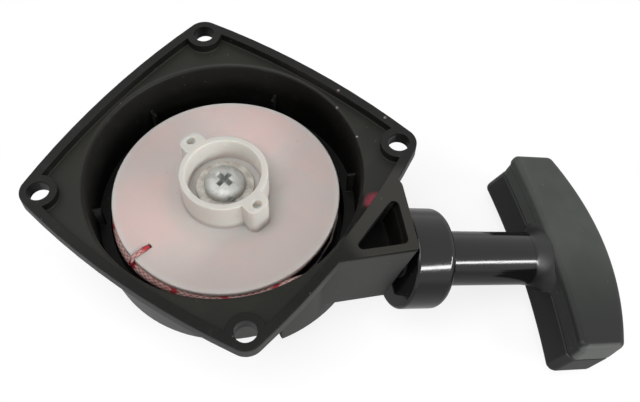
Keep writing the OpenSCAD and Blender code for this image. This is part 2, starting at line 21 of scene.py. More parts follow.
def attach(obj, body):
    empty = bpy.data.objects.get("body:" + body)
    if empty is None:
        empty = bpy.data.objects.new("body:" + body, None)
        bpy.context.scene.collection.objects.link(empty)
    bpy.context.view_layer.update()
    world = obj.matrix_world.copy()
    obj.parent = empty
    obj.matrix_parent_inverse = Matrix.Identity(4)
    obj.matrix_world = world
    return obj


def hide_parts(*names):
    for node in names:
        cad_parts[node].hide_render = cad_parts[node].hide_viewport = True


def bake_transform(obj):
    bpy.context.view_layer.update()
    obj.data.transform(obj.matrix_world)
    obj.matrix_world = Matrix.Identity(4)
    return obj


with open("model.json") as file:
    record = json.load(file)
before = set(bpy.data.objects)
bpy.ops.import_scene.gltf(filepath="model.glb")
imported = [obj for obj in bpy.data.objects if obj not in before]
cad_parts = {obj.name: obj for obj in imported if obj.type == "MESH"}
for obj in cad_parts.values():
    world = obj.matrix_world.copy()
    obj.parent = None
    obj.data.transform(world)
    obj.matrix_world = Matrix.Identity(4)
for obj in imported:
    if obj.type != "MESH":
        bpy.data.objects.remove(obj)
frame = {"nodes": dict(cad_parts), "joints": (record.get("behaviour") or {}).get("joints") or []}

LOG = logging.getLogger("recoil_starter")
MM = 0.001
ROPE_R = 1.6 * MM
ROPE_LAY = 14.28 * MM
ROPE_STRANDS = 8
# How steeply a strand dips where it goes under the next one.
STRAND_ARCH = 2.2
ROUND_SIDES = 72
# Least Z part of the normal of a face that counts as looking along Z.
LEVEL_FACE = 0.9
Colour = tuple[float, float, float]
Point = tuple[float, float, float]
Span = tuple[float, float]
Setting = Union[str, float, bool, bpy.types.Object]
BLACK: Colour = (0.0, 0.0, 0.0)


class Body(str, Enum):
    """Bodies of the frame that pieces ride on."""

    HOUSING = "housing"
    REEL = "reel"
    ROPE_END = "rope_end"
    HANDLE = "handle"


class Slot(str, Enum):
    """Material slots of the record, passed with new pieces but not used."""

    HOUSING_NYLON = "housing_nylon"
    HANDLE_GLOSS = "handle_gloss"
    HANDLE_SATIN = "handle_satin"
    REEL_NYLON = "reel_nylon"
    PLATED_STEEL = "plated_steel"
    ROPE_BRAID = "rope_braid"


class Coord(int, Enum):
    """Outputs of a Texture Coordinate node, by place."""

    NORMAL = 1
    UV = 2
    OBJECT = 3


class Ray(int, Enum):
    """Outputs of a Light Path node, by place."""

    CAMERA = 0
    GLOSSY = 3
    TRANSMISSION = 6


def operator(operation: str, reflected: bool = False) -> Callable[..., "Sock"]:
    """Make a method of Sock that adds a Math node.

    Args:
        operation: Name of the node's operation.
        reflected: Whether the socket comes after the other value, as in 1 - mask.

    Returns:
        The method, which takes the node's other values.
    """
    def method(self: "Sock", *others: "Value") -> "Sock":
        """Add the node and return its output."""
        values = (*others, self) if reflected else (self, *others)
        return self.graph.node("ShaderNodeMath", {"operation": operation}, dict(enumerate(values)))[0]

    return method


class Sock:
    """A node's output in a shader expression; its operators add Math nodes."""

    __add__, __radd__ = operator("ADD"), operator("ADD", True)
    __sub__, __rsub__ = operator("SUBTRACT"), operator("SUBTRACT", True)
    __mul__, __rmul__ = operator("MULTIPLY"), operator("MULTIPLY", True)
    __truediv__, __rtruediv__ = operator("DIVIDE"), operator("DIVIDE", True)
    least, most = operator("MINIMUM"), operator("MAXIMUM")
    under, over = operator("LESS_THAN"), operator("GREATER_THAN")
    floor, fract = operator("FLOOR"), operator("FRACT")
    root, sine, angle = operator("SQRT"), operator("SINE"), operator("ARCTAN2")

    def __init__(self, graph: "Graph", socket: bpy.types.NodeSocket) -> None:
        """Hold the socket and the graph that it belongs to."""
        self.graph = graph
        self.socket = socket

    def step(self, low: float, high: float) -> "Sock":
        """Return a smooth step, 0 at low and 1 at high, which may be below low."""
        return self.graph.node("ShaderNodeMapRange", {"interpolation_type": "SMOOTHSTEP"},
                               {"Value": self, "From Min": low, "From Max": high})[0]


Value = Union[Sock, float, Sequence[float]]


class Graph:
    """Node tree of a material or of the world."""

    def __init__(self, tree: bpy.types.NodeTree) -> None:
        """Hold the tree."""
        self.tree = tree

    def node(self, kind: str, settings: Optional[dict[str, Setting]] = None,
             inputs: Optional[dict[Union[int, str], Value]] = None) -> list[Sock]:
        """Add a node.

        Args:
            kind: Type of the node.
            settings: Properties to set first.
            inputs: Values or links for its sockets, by name or place.

        Returns:
            The node's outputs.
        """
        made = self.tree.nodes.new(kind)
        for name, value in (settings or {}).items():
            setattr(made, name, value)
        for key, value in (inputs or {}).items():
            self.put(made.inputs[key], value)
        return [Sock(self, output) for output in made.outputs]

    def put(self, socket: bpy.types.NodeSocket, value: Value) -> None:
        """Link or set a socket.

        Args:
            socket: The input.
            value: An expression, a number, or a colour or vector.
        """
        if isinstance(value, Sock):
            self.tree.links.new(value.socket, socket)
        elif isinstance(value, (int, float)):
            socket.default_value = value
        elif socket.type == "RGBA":
            socket.default_value = (*value[:3], 1.0)
        else:
            socket.default_value = value

    def set(self, **values: Value) -> None:
        """Set sockets of the Principled shader.

        Args:
            values: Values by socket name, with _ for a space.
        """
        shader = self.tree.nodes["Principled BSDF"]
        for name, value in values.items():
            self.put(shader.inputs[name.replace("_", " ")], value)

    def mix(self, factor: Value, low: Value, high: Value) -> Sock:
        """Return a mix of two colours; a factor of 0 gives the first and 1 the second."""
        return self.node("ShaderNodeMix", {"data_type": "RGBA"}, {0: factor, 6: low, 7: high})[2]

    def coord(self, which: Coord) -> Sock:
        """Return coordinates of the surface."""
        return self.node("ShaderNodeTexCoord")[which]

    def parts(self, vector: Sock) -> list[Sock]:
        """Return the three parts of a vector."""
        return self.node("ShaderNodeSeparateXYZ", None, {0: vector})

    def along(self, where: Sock, start: Point, way: Sequence[float]) -> Sock:
        """Return how far a place lies from a start along a direction."""
        away = self.node("ShaderNodeVectorMath", {"operation": "SUBTRACT"}, {0: where, 1: start})[0]
        return self.node("ShaderNodeVectorMath", {"operation": "DOT_PRODUCT"}, {0: away, 1: way})[1]

    def bump(self, height: Sock, depth: float, strength: float) -> Sock:
        """Return a normal raised by a height of 0 to 1, where 1 stands for the depth."""
        return self.node("ShaderNodeBump", None,
                         {"Strength": strength, "Distance": depth, "Height": height})[0]

    def seen(self, mirrored: Value) -> Sock:
        """Return 1 for rays from the eye or through glass, and the given share for mirrored ones."""
        rays = self.node("ShaderNodeLightPath")
        return rays[Ray.CAMERA].most(rays[Ray.TRANSMISSION]).most(rays[Ray.GLOSSY] * mirrored)


@dataclass(frozen=True)
class Noise:
    """Noise of so many waves per metre, in finer layers, and the span that makes it a mask."""

    scale: float
    detail: float = 2.0
    rough: float = 0.5
    mask: Optional[Span] = None
    stretch: Optional[Point] = None

    def on(self, where: Sock) -> Sock:
        """Add the noise.

        Args:
            where: Coordinates.

        Returns:
            A value around 0.5, or the mask.
        """
        graph = where.graph
        if self.stretch is not None:
            where = graph.node("ShaderNodeMapping", None, {"Vector": where, "Scale": self.stretch})[0]
        values = {"Vector": where, "Scale": self.scale, "Detail": self.detail, "Roughness": self.rough}
        noise = graph.node("ShaderNodeTexNoise", None, values)[0]
        return noise if self.mask is None else noise.step(*self.mask)


@dataclass(frozen=True)
class Specks:
    """Scattered specks: cells per metre, a speck's radius in cells and the share of cells with one."""

    scale: float
    size: float
    share: float
    core: float = 0.6

    def on(self, where: Sock) -> Sock:
        """Add the specks.

        Args:
            where: Coordinates.

        Returns:
            Their mask.
        """
        cells = where.graph.node("ShaderNodeTexVoronoi", None, {"Vector": where, "Scale": self.scale})
        chance = where.graph.node("ShaderNodeSeparateColor", None, {0: cells[1]})[0]
        return cells[0].step(self.size, self.size * self.core) * chance.over(1.0 - self.share)


@dataclass(frozen=True)
class Ball:
    """A round place: full up to the inner distance from its centre and gone at the outer one."""

    centre: Point
    inner: float
    outer: float

    def on(self, where: Sock) -> Sock:
        """Return the mask of the place."""
        away = where.graph.node("ShaderNodeVectorMath", {"operation": "DISTANCE"}, {0: where, 1: self.centre})
        return away[1].step(self.outer, self.inner)


class Surface:
    """Where a point of a piece lies around the reel's axis, and which way it faces."""

    def __init__(self, graph: Graph) -> None:
        """Read the Object coordinates and the normal.

        Args:
            graph: The material's graph.
        """
        self.where = graph.coord(Coord.OBJECT)
        self.x, self.y, self.z = graph.parts(self.where)
        self.square = self.x * self.x + self.y * self.y
        self.away = self.square.root()
        self.across, self.along, self.upward = graph.parts(graph.coord(Coord.NORMAL))
        self.outward = (self.across * self.x + self.along * self.y) / self.away


@dataclass(frozen=True)
class PullLine:
    """The line that the rope and the handle are pulled along, from the frame's joints."""

    seat: Point
    axis: Point

    @classmethod
    def from_frame(cls) -> "PullLine":
        """Read the line from the joints of the frame."""
        joints = {joint["name"]: joint for joint in frame["joints"]}
        return cls(tuple(joints["handle_twist"]["pos_m"]), tuple(joints["handle_pull"]["axis"]))

    def way(self) -> Vector:
        """Return the direction of the pull."""
        return Vector(self.axis).normalized()

    def at(self, along: float) -> Vector:
        """Return the point at a distance from the seat."""
        return Vector(self.seat) + float(along) * self.way()

    def across(self) -> tuple[Vector, Vector]:
        """Return two directions square to the line: level, and upwards."""
        level = Vector((0.0, 1.0, 0.0))
        return level, self.way().cross(level)


@dataclass(frozen=True)
class Finish:
    """A procedural material, made once. A Span is where a mask starts and where it is full."""

    name: str

    def material(self) -> bpy.types.Material:
        """Get the material, and make it at the first call.

        Returns:
            The material.
        """
        known = bpy.data.materials.get(self.name)
        if known is not None:
            return known
        made = bpy.data.materials.new(self.name)
        made.use_nodes = True
        self.shade(Graph(made.node_tree))
        return made

    def shade(self, graph: Graph) -> None:
        """Fill in the material's graph."""
        raise NotImplementedError


@dataclass(frozen=True)
class MouldedNylon(Finish):
    """Matt black moulded nylon with fine grain, dust, dye off the rope, painted light and painted shade."""

    dark: Colour = (0.0034, 0.0036, 0.0026)
    pale: Colour = (0.0066, 0.0071, 0.0056)
    scuffed: Colour = (0.028, 0.031, 0.029)
    shelf: Colour = (0.0170, 0.0178, 0.0138)
    rubbed: Colour = (0.032, 0.031, 0.027)
    # Painted light, with some worn tone: the paler sides of the flange and the bowl, lighter on the left.
    worn: Colour = (0.060, 0.062, 0.058)
    lit_left_side: Colour = (0.115, 0.12, 0.116)
    dusty: Colour = (0.16, 0.145, 0.14)
    dyed: Colour = (0.24, 0.03, 0.052)
    chipped: Colour = (0.48, 0.38, 0.38)
    grain: Noise = Noise(2400.0, 3.0)
    grain_depth: float = 0.05 * MM
    cloud: Noise = Noise(38.0, 3.0)
    pale_span: Span = (0.3, 0.75)
    scuff: Noise = Noise(210.0, 4.0, 0.65, mask=(0.55, 0.78))
    dust: Specks = Specks(620.0, 0.16, 0.05)
    smear: Ball = Ball((0.0409, -0.0174, -0.003), 0.002, 0.0042)
    smear_break: Noise = Noise(420.0, 3.0, mask=(0.3, 0.5))
    chips: tuple[Ball, ...] = (
        Ball((0.03736, 0.02161, -0.0005), 0.00024, 0.0008),
        Ball((0.04893, 0.00929, -0.0005), 0.00024, 0.0008),
        Ball((0.03638, 0.01768, -0.0034), 0.00018, 0.0006),
        Ball((0.0372, 0.01616, -0.0036), 0.00018, 0.0006),
        Ball((0.0401, 0.006, -0.0033), 0.00015, 0.0005))
    chip_break: Noise = Noise(1500.0, 2.0, mask=(0.3, 0.5))
    pocket: Ball = Ball((0.0478, -0.0265, -0.008), 0.013, 0.016)
    pocket_frame: Ball = Ball((0.0478, -0.0265, 0.0), 0.015, 0.02)
    mouth: Ball = Ball((0.0345, -0.0205, -0.004), 0.006, 0.009)
    shelf_tip: Ball = Ball((0.0372, -0.0215, -0.003), 0.003, 0.0042)
    shelf_low: Span = (-0.0034, -0.0031)
    shelf_high: Span = (-0.0022, -0.0028)
    flange_top: Span = (-0.001, -0.0004)
    flange_side: Span = (-0.0005, -0.0015)
    bowl_side: Span = (-0.004, -0.019)
    bowl_r: Span = (0.036, 0.037)
    # Where the painted light on the bowl's sides is lighter, on the left.
    lit_left_x: Span = (-0.004, -0.02)
    lit_left_z: Span = (-0.006, -0.012)
    well_r: Span = (0.0413, 0.0405)
    well_deep: Span = (-0.008, -0.0135)
    mouth_deep: Span = (-0.001, -0.003)
    pocket_wall: Span = (0.0005, 0.002)
    near_side: Span = (-0.01, -0.04)
    lying: Span = (0.7, 0.9)
    to_front: Span = (-0.2, -0.6)
    not_inward: Span = (-0.1, 0.1)
    to_outside: Span = (0.1, 0.4)
    to_left: Span = (-0.35, -0.8)
    not_to_back: Span = (0.5, 0.25)
    not_outward: Span = (0.3, 0.1)

    def shade(self, graph: Graph) -> None:
        """Mix the moulded tones, then the worn and painted-lit sides, the marks and the painted shade.

        Args:
            graph: The material's graph.
        """
        spot = Surface(graph)
        cloud = self.cloud.on(spot.where)
        scuff = self.scuff.on(spot.where)
        level = spot.z.step(*self.shelf_low) * spot.z.step(*self.shelf_high)
        base = graph.mix(cloud.step(*self.pale_span), self.dark, self.pale)
        base = graph.mix(scuff * 0.3, base, self.scuffed)
        base = graph.mix(level * (0.6 + cloud * 0.6).least(1.0), base, self.shelf)
        base = self.wear_and_painted_light(spot, cloud, base)
        base = self.marks(spot, level, base)
        hollow = self.hollow(spot, level)
        # Painted shade: the hollows are darkened towards black and lose coat, and the coat thins towards the
        # near side.
        graph.set(Base_Color=graph.mix(hollow * 0.5, base, BLACK),
                  Roughness=0.5 + (cloud - 0.5) * 0.25 - scuff * 0.08, Specular_IOR_Level=0.06,
                  Normal=graph.bump(self.grain.on(spot.where), self.grain_depth, 0.5),
                  Coat_Weight=0.34 - hollow * 0.24 - spot.y.step(*self.near_side) * 0.16, Coat_Roughness=0.5)

    def wear_and_painted_light(self, spot: Surface, cloud: Sock, base: Sock) -> Sock:
        """Rub the pocket's frame; pale the flange and bowl sides with worn tone and painted light.

        Args:
            spot: The point that is coloured.
            cloud: Soft noise that breaks up the worn tone and the painted light.
            base: Colour so far.

        Returns:
            The colour with the worn tone and the painted light on it.
        """
        mix = base.graph.mix
        top = self.pocket_frame.on(spot.where) * spot.upward.step(*self.lying)
        top = top * spot.z.step(*self.flange_top)
        base = mix(top * 0.8, base, self.rubbed)
        # Painted light with some worn tone: flange sides that face -Y and the outer sides of the bowl.
        lit_front = spot.along.step(*self.to_front) * spot.z.step(*self.flange_side)
        lit_front = lit_front * spot.outward.step(*self.not_inward)
        lit_outside = lit_front.most(spot.z.step(*self.bowl_side) * spot.outward.step(*self.to_outside))
        lit_outside = lit_outside * spot.away.step(*self.bowl_r)
        left = spot.x.step(*self.lit_left_x) * spot.z.step(*self.lit_left_z)
        return mix(lit_outside * (0.75 + cloud * 0.4).least(1.0), base, mix(left, self.worn, self.lit_left_side))

    def marks(self, spot: Surface, level: Sock, base: Sock) -> Sock:
        """Add dust, a smear of dye on the shelf, and chips.

        Args:
            spot: The point that is coloured.
            level: Mask of the shelf.
            base: Colour so far.

        Returns:
            The colour with the marks on it.
        """
        mix = base.graph.mix
        base = mix(self.dust.on(spot.where) * 0.4, base, self.dusty)
        smear = self.smear.on(spot.where) * level * self.smear_break.on(spot.where)
        base = mix(smear * 0.9, base, self.dyed)
        ragged = self.chip_break.on(spot.where)
        for chip in self.chips:
            base = mix(chip.on(spot.where) * ragged, base, self.chipped)
        return base

    def hollow(self, spot: Surface, level: Sock) -> Sock:
        """Find the walls that little light reaches, in the well and in the pocket.

        Args:
            spot: The point that is coloured.
            level: Mask of the shelf.

        Returns:
            The mask.
        """
        x, y, _ = self.pocket.centre
        inward = (x - spot.x) * spot.across + (y - spot.y) * spot.along
        pocket = self.pocket.on(spot.where) * inward.step(*self.pocket_wall)
        right = spot.across.step(*self.to_left) * spot.along.step(*self.not_to_back)
        right = right * spot.z.step(*self.mouth_deep)
        shaded = (spot.z.step(*self.well_deep) * 0.4).most(right).most(self.mouth.on(spot.where))
        well = shaded * spot.away.step(*self.well_r) * spot.outward.step(*self.not_outward)
        return well.most(pocket).most(self.shelf_tip.on(spot.where) * level)


@dataclass(frozen=True)
class GlossPlastic(Finish):
    """Polished black plastic with a faint mould wave and hair scratches, matt where the bar starts."""

    line: PullLine
    dark: Colour = (0.004, 0.0044, 0.0042)
    root: Colour = (0.007, 0.0082, 0.0075)
    dusty: Colour = (0.12, 0.115, 0.11)
    root_span: Span = (42.0 * MM, 43.6 * MM)
    wave: Noise = Noise(55.0, 2.0)
    wave_depth: float = 0.2 * MM
    scratch: Noise = Noise(1.0, 4.0, 0.6, mask=(0.6, 0.74), stretch=(18.0, 1500.0, 900.0))
    dust: Specks = Specks(700.0, 0.13, 0.04)

    def shade(self, graph: Graph) -> None:
        """Mix the polish with scratches, dust and the matt root of the bar.

        Args:
            graph: The material's graph.
        """
        where = graph.coord(Coord.OBJECT)
        matt = graph.along(where, self.line.seat, self.line.axis).step(*self.root_span)
        wave, scratch, dust = (look.on(where) for look in (self.wave, self.scratch, self.dust))
        base = graph.mix(dust * 0.5, graph.mix(matt, self.dark, self.root), self.dusty)
        graph.set(Base_Color=base, Roughness=0.09 + scratch * 0.08 + wave * 0.05 + dust * 0.3 + matt * 0.32,
                  Normal=graph.bump(wave, self.wave_depth, 0.25), Specular_IOR_Level=0.45)


@dataclass(frozen=True)
class SatinPlastic(Finish):
    """Dark green-grey satin plastic worn by fingers; painted shade at one end, painted light on end faces."""

    dark: Colour = (0.034, 0.039, 0.034)
    pale: Colour = (0.049, 0.055, 0.049)
    scratched: Colour = (0.075, 0.08, 0.075)
    # Painted shade, darker towards the near end of the bar.
    near_shade: Colour = (0.008, 0.0095, 0.0082)
    # Painted light on the end faces that look towards -Y.
    end: Colour = (0.10, 0.108, 0.098)
    dusty: Colour = (0.2, 0.2, 0.19)
    grain: Noise = Noise(3200.0, 2.0)
    grain_depth: float = 0.04 * MM
    cloud: Noise = Noise(70.0, 4.0)
    pale_span: Span = (0.3, 0.7)
    scratch: Noise = Noise(1.0, 3.0, mask=(0.6, 0.8), stretch=(900.0, 60.0, 500.0))
    dust: Specks = Specks(640.0, 0.15, 0.05)
    near_shade_y: Span = (-0.022, -0.056)
    lit_end_facing: Span = (-0.5, -0.85)

    def shade(self, graph: Graph) -> None:
        """Mix the satin tones with scratches, painted shade, painted light on the end faces, and dust.

        Args:
            graph: The material's graph.
        """
        spot = Surface(graph)
        looks = (self.grain, self.cloud, self.scratch, self.dust)
        grain, cloud, scratch, dust = (look.on(spot.where) for look in looks)
        base = graph.mix(cloud.step(*self.pale_span), self.dark, self.pale)
        base = graph.mix(scratch * 0.3, base, self.scratched)
        # Painted shade towards the near end, then painted light on the end faces.
        base = graph.mix(spot.y.step(*self.near_shade_y) * 0.95, base, self.near_shade)
        base = graph.mix(spot.along.step(*self.lit_end_facing), base, self.end)
        base = graph.mix(dust * 0.5, base, self.dusty)
        graph.set(Base_Color=base, Roughness=0.46 + (cloud - 0.5) * 0.2 - scratch * 0.06,
                  Normal=graph.bump(grain, self.grain_depth, 0.5), Specular_IOR_Level=0.32)


@dataclass(frozen=True)
class MilkyNylon(Finish):
    """Milky white nylon that lets the wound rope glow through in pink."""

    cream: Colour = (0.71, 0.70, 0.655)
    pink: Colour = (0.65, 0.49, 0.465)
    grey: Colour = (0.575, 0.495, 0.47)
    # Painted shade on the disc around the base of the drive ring.
    ring_foot_shade: Colour = (0.50, 0.47, 0.44)
    rim: Colour = (0.62, 0.555, 0.525)
    # Painted shade: the ring's upward faces are darkened.
    top: Colour = (0.54, 0.53, 0.49)
    # Painted shade low inside the ring, around the washer.
    bore: Colour = (0.46, 0.385, 0.375)
    stained: Colour = (0.46, 0.38, 0.35)
    speckled: Colour = (0.22, 0.15, 0.13)
    left_glow: Ball = Ball((-0.025, -0.004, -0.0131), 0.004, 0.019)
    far_glow: Ball = Ball((0.012, 0.025, -0.0131), 0.004, 0.02)
    glow_span: Span = (0.0, 0.75)
    ring_z: Span = (-0.0131, -0.0106)
    ring_foot_shade_r: Span = (0.0205, 0.0155)
    rim_r: Span = (0.0312, 0.0332)
    bore_r: Span = (0.0113, 0.0108)
    bore_deep: Span = (-0.0075, -0.0112)
    mottle: Noise = Noise(62.0, 3.0, 0.55)
    fine: Noise = Noise(520.0, 3.0)
    fine_depth: float = 0.08 * MM
    stain: Noise = Noise(190.0, 4.0, 0.6, mask=(0.6, 0.8))
    speck: Specks = Specks(420.0, 0.1, 0.06)
    scatter: Point = (0.003, 0.002, 0.0018)
    lying: Span = (0.5, 0.9)

    def disc(self, spot: Surface, fine: Sock) -> Sock:
        """Colour the disc: pink where the rope glows through, painted shade by the ring, paler at its rim.

        Args:
            spot: The point that is coloured.
            fine: Fine noise.

        Returns:
            The colour.
        """
        mix = fine.graph.mix
        glow = self.left_glow.on(spot.where).most(self.far_glow.on(spot.where)) * 0.55
        glow = glow + (self.mottle.on(spot.where) - 0.5) * 1.6 + (fine - 0.5) * 0.25 + 0.2
        disc = mix(glow.step(*self.glow_span), self.grey, self.pink)
        # Painted shade around the base of the ring.
        disc = mix(spot.away.step(*self.ring_foot_shade_r) * 0.6, disc, self.ring_foot_shade)
        return mix(spot.away.step(*self.rim_r) * 0.8, disc, self.rim)

    def shade(self, graph: Graph) -> None:
        """Mix the disc and the drive ring, painted shade on the ring's top and bore, stains and specks.

        Args:
            graph: The material's graph.
        """
        spot = Surface(graph)
        fine, stain, speck = (look.on(spot.where) for look in (self.fine, self.stain, self.speck))
        lift = spot.z.step(*self.ring_z)
        base = graph.mix(lift, self.disc(spot, fine), self.cream)
        # Painted shade on the ring's upward faces.
        base = graph.mix(lift * spot.upward.step(*self.lying), base, self.top)
        # Painted shade low inside the ring.
        deep = spot.away.step(*self.bore_r) * spot.z.step(*self.bore_deep)
        base = graph.mix(deep * 0.45, base, self.bore)
        base = graph.mix(stain * 0.25, base, self.stained)
        base = graph.mix(speck * 0.6, base, self.speckled)
        graph.set(Base_Color=base, Roughness=0.42 + (fine - 0.5) * 0.2 + stain * 0.1,
                  Normal=graph.bump(fine, self.fine_depth, 0.4), Subsurface_Weight=0.8,
                  Subsurface_Radius=self.scatter, Subsurface_Scale=1.4)


@dataclass(frozen=True)
class ZincSteel(Finish):
    """Zinc-plated steel with dark pits, turned rings and a darker tone in its recesses."""

    bright: Colour = (0.50, 0.505, 0.485)
    dull: Colour = (0.36, 0.355, 0.335)
    dark_tone: Colour = (0.115, 0.13, 0.12)
    head_r: float = 6.1 * MM
    head_z: float = -9.05 * MM
    head_h: float = 2.55 * MM
    sunk_deep: Span = (0.25 * MM, 0.7 * MM)
    recess_r: Span = (3.6 * MM, 3.1 * MM)
    blotch: Ball = Ball((0.0012, -0.0062, -0.0092), 0.0006, 0.0024)
    blotch_break: Noise = Noise(900.0, 3.0, mask=(0.36, 0.56))
    mottle: Noise = Noise(330.0, 4.0, 0.6)
    dull_span: Span = (0.35, 0.7)
    pits: Specks = Specks(1100.0, 0.27, 0.14)
    ring_scale: float = 9000.0
    ring_depth: float = 0.012 * MM

    def shade(self, graph: Graph) -> None:
        """Mix the plating with pits, a blotch and a darker tone below the head's crown.

        Args:
            graph: The material's graph.
        """
        spot = Surface(graph)
        crown = self.head_z + self.head_h * (1.0 - spot.square / self.head_r ** 2).most(0.0).root()
        # A darker tone in the cross recess below the head's crown.
        sunk = (crown - spot.z).step(*self.sunk_deep) * spot.away.step(*self.recess_r)
        mottle = self.mottle.on(spot.where)
        rings = (spot.away * self.ring_scale + mottle * 3.0).sine()
        blotch = self.blotch.on(spot.where) * self.blotch_break.on(spot.where)
        dark_mask = (sunk * 0.8).most(blotch).most(self.pits.on(spot.where) * 0.8)
        base = graph.mix(mottle.step(*self.dull_span), self.bright, self.dull)
        graph.set(Base_Color=graph.mix(dark_mask * 0.93, base, self.dark_tone), Metallic=0.6 - dark_mask * 0.5,
                  Roughness=0.46 + mottle * 0.2 + dark_mask * 0.2,
                  Normal=graph.bump(rings * 0.5 + 0.5, self.ring_depth, 0.35))


@dataclass(frozen=True)
class BluedSteel(Finish):
    """Blued spring strip with oil and rolling marks."""

    blue: Colour = (0.17, 0.19, 0.25)
    straw: Colour = (0.32, 0.28, 0.22)
    straw_patch: Noise = Noise(90.0, 3.0, mask=(0.35, 0.7))
    rolled: Noise = Noise(1.0, 2.0, stretch=(300.0, 300.0, 9000.0))
    rolled_depth: float = 0.01 * MM

    def shade(self, graph: Graph) -> None:
        """Mix blue and straw tones over rolling marks.

        Args:
            graph: The material's graph.
        """
        where = graph.coord(Coord.OBJECT)
        rolled = self.rolled.on(where)
        graph.set(Base_Color=graph.mix(self.straw_patch.on(where), self.blue, self.straw), Metallic=1.0,
                  Roughness=0.24 + rolled * 0.25, Normal=graph.bump(rolled, self.rolled_depth, 0.4))


@dataclass(frozen=True)
class TurnedBrass(Finish):
    """Turned brass, dulled in patches."""

    bright: Colour = (0.66, 0.48, 0.19)
    dull: Colour = (0.36, 0.25, 0.11)
    cloud: Noise = Noise(260.0, 4.0, 0.6)
    dull_span: Span = (0.4, 0.75)
    turn_scale: float = 24000.0
    turn_depth: float = 0.01 * MM

    def shade(self, graph: Graph) -> None:
        """Mix bright and dull brass over the marks of the tool.

        Args:
            graph: The material's graph.
        """
        where = graph.coord(Coord.OBJECT)
        cloud = self.cloud.on(where)
        turned = (graph.parts(where)[2] * self.turn_scale).sine() * 0.5 + 0.5
        graph.set(Base_Color=graph.mix(cloud.step(*self.dull_span), self.bright, self.dull), Metallic=1.0,
                  Roughness=0.26 + cloud * 0.22, Normal=graph.bump(turned, self.turn_depth, 0.4))


@dataclass(frozen=True)
class BraidedRope(Finish):
    """Braid of pale strands with one red tracer strand and dark gaps between the strands.

    The pattern follows the rope's UV map, which holds lays along it and turns around it, or for the
    run through the stem the distance along the pull line.
    """

    lay: float = ROPE_LAY
    strands: int = ROPE_STRANDS
    line: Optional[PullLine] = None
    white: Colour = (0.67, 0.45, 0.42)
    pink: Colour = (0.51, 0.275, 0.25)
    gap: Colour = (0.2, 0.05, 0.048)
    tracer: Colour = (0.44, 0.010, 0.026)
    dyed: Ball = Ball((-0.0243, -0.0152, -0.0132), 0.0008, 0.0024)
    soil: Noise = Noise(160.0, 3.0, mask=(0.35, 0.68))
    gap_span: Span = (0.1, 0.62)
    tracer_share: float = 0.75
    fibres_across: float = 38.0
    fibres_along: float = 9.0
    strand_depth: float = 0.08 * MM
    run_depth: float = 0.2 * MM

    def lays_and_turns(self, graph: Graph, where: Sock) -> tuple[Sock, Sock]:
        """Find where on the rope a point is.

        Args:
            graph: The material's graph.
            where: Object coordinates.

        Returns:
            Lays along the rope and turns around it.
        """
        if self.line is None:
            lays, turns, _ = graph.parts(graph.coord(Coord.UV))
            return lays, turns
        ways = (self.line.axis, *self.line.across())
        along, side, rise = (graph.along(where, self.line.seat, tuple(way)) for way in ways)
        return along / self.lay, rise.angle(side) / math.tau

    def shade(self, graph: Graph) -> None:
        """Weave the strands over and under each other and colour them.

        Args:
            graph: The material's graph.
        """
        where = graph.coord(Coord.OBJECT)
        lays, turns = self.lays_and_turns(graph, where)
        left = (turns - lays) * self.strands
        right = (turns + lays) * self.strands
        left_off = left.fract() - 0.5
        right_off = right.fract() - 0.5
        on_top = ((left.floor() + right.floor()) / 2.0).fract() * 2.0
        across = left_off + (right_off - left_off) * on_top
        along = right_off + (left_off - right_off) * on_top
        height = (1.0 - across * across * 4.0) * (1.0 - along * along * STRAND_ARCH)
        fibre = ((across * self.fibres_across + along * self.fibres_along).sine() * 0.5 + 0.5) * 0.35
        cell = ((right.floor() - left.floor()) / (2.0 * self.strands)).fract()
        red = cell.under(self.tracer_share / self.strands).most(self.dyed.on(where))
        pale = graph.mix(self.soil.on(where), self.white, self.pink)
        yarn = graph.mix(red * 0.95, pale, self.tracer)
        base = graph.mix((height + fibre * 0.25).step(*self.gap_span), self.gap, yarn)
        depth = self.run_depth if self.line else self.strand_depth
        graph.set(Base_Color=base, Roughness=0.8 - height * 0.15, Specular_IOR_Level=0.3,
                  Normal=graph.bump(height * 0.7 + fibre * 0.3, depth, 0.8))


@dataclass(frozen=True)
class PaperFloor(Finish):
    """White paper, burnt out to the eye but for its shadow, that fades out around the object."""

    sheet: Ball
    white: Colour = (0.45, 0.45, 0.45)
    lit: Colour = (0.24, 0.24, 0.24)
    burnt: Colour = (0.78, 0.78, 0.78)
    fibrous: Colour = (0.8, 0.8, 0.8)
    fibre: Noise = Noise(700.0, 3.0)
    mirrored: float = 0.3

    def shade(self, graph: Graph) -> None:
        """Light the paper for the eye, keep it plain for the object and fade its edge.

        Args:
            graph: The material's graph.
        """
        where = graph.coord(Coord.OBJECT)
        eye = graph.seen(self.mirrored)
        base = graph.mix(eye, self.white, self.lit)
        graph.set(Base_Color=graph.mix(self.fibre.on(where) * 0.05, base, self.fibrous), Roughness=0.9,
                  Specular_IOR_Level=0.0, Emission_Color=graph.mix(eye, BLACK, self.burnt),
                  Emission_Strength=1.0, Alpha=self.sheet.on(where))


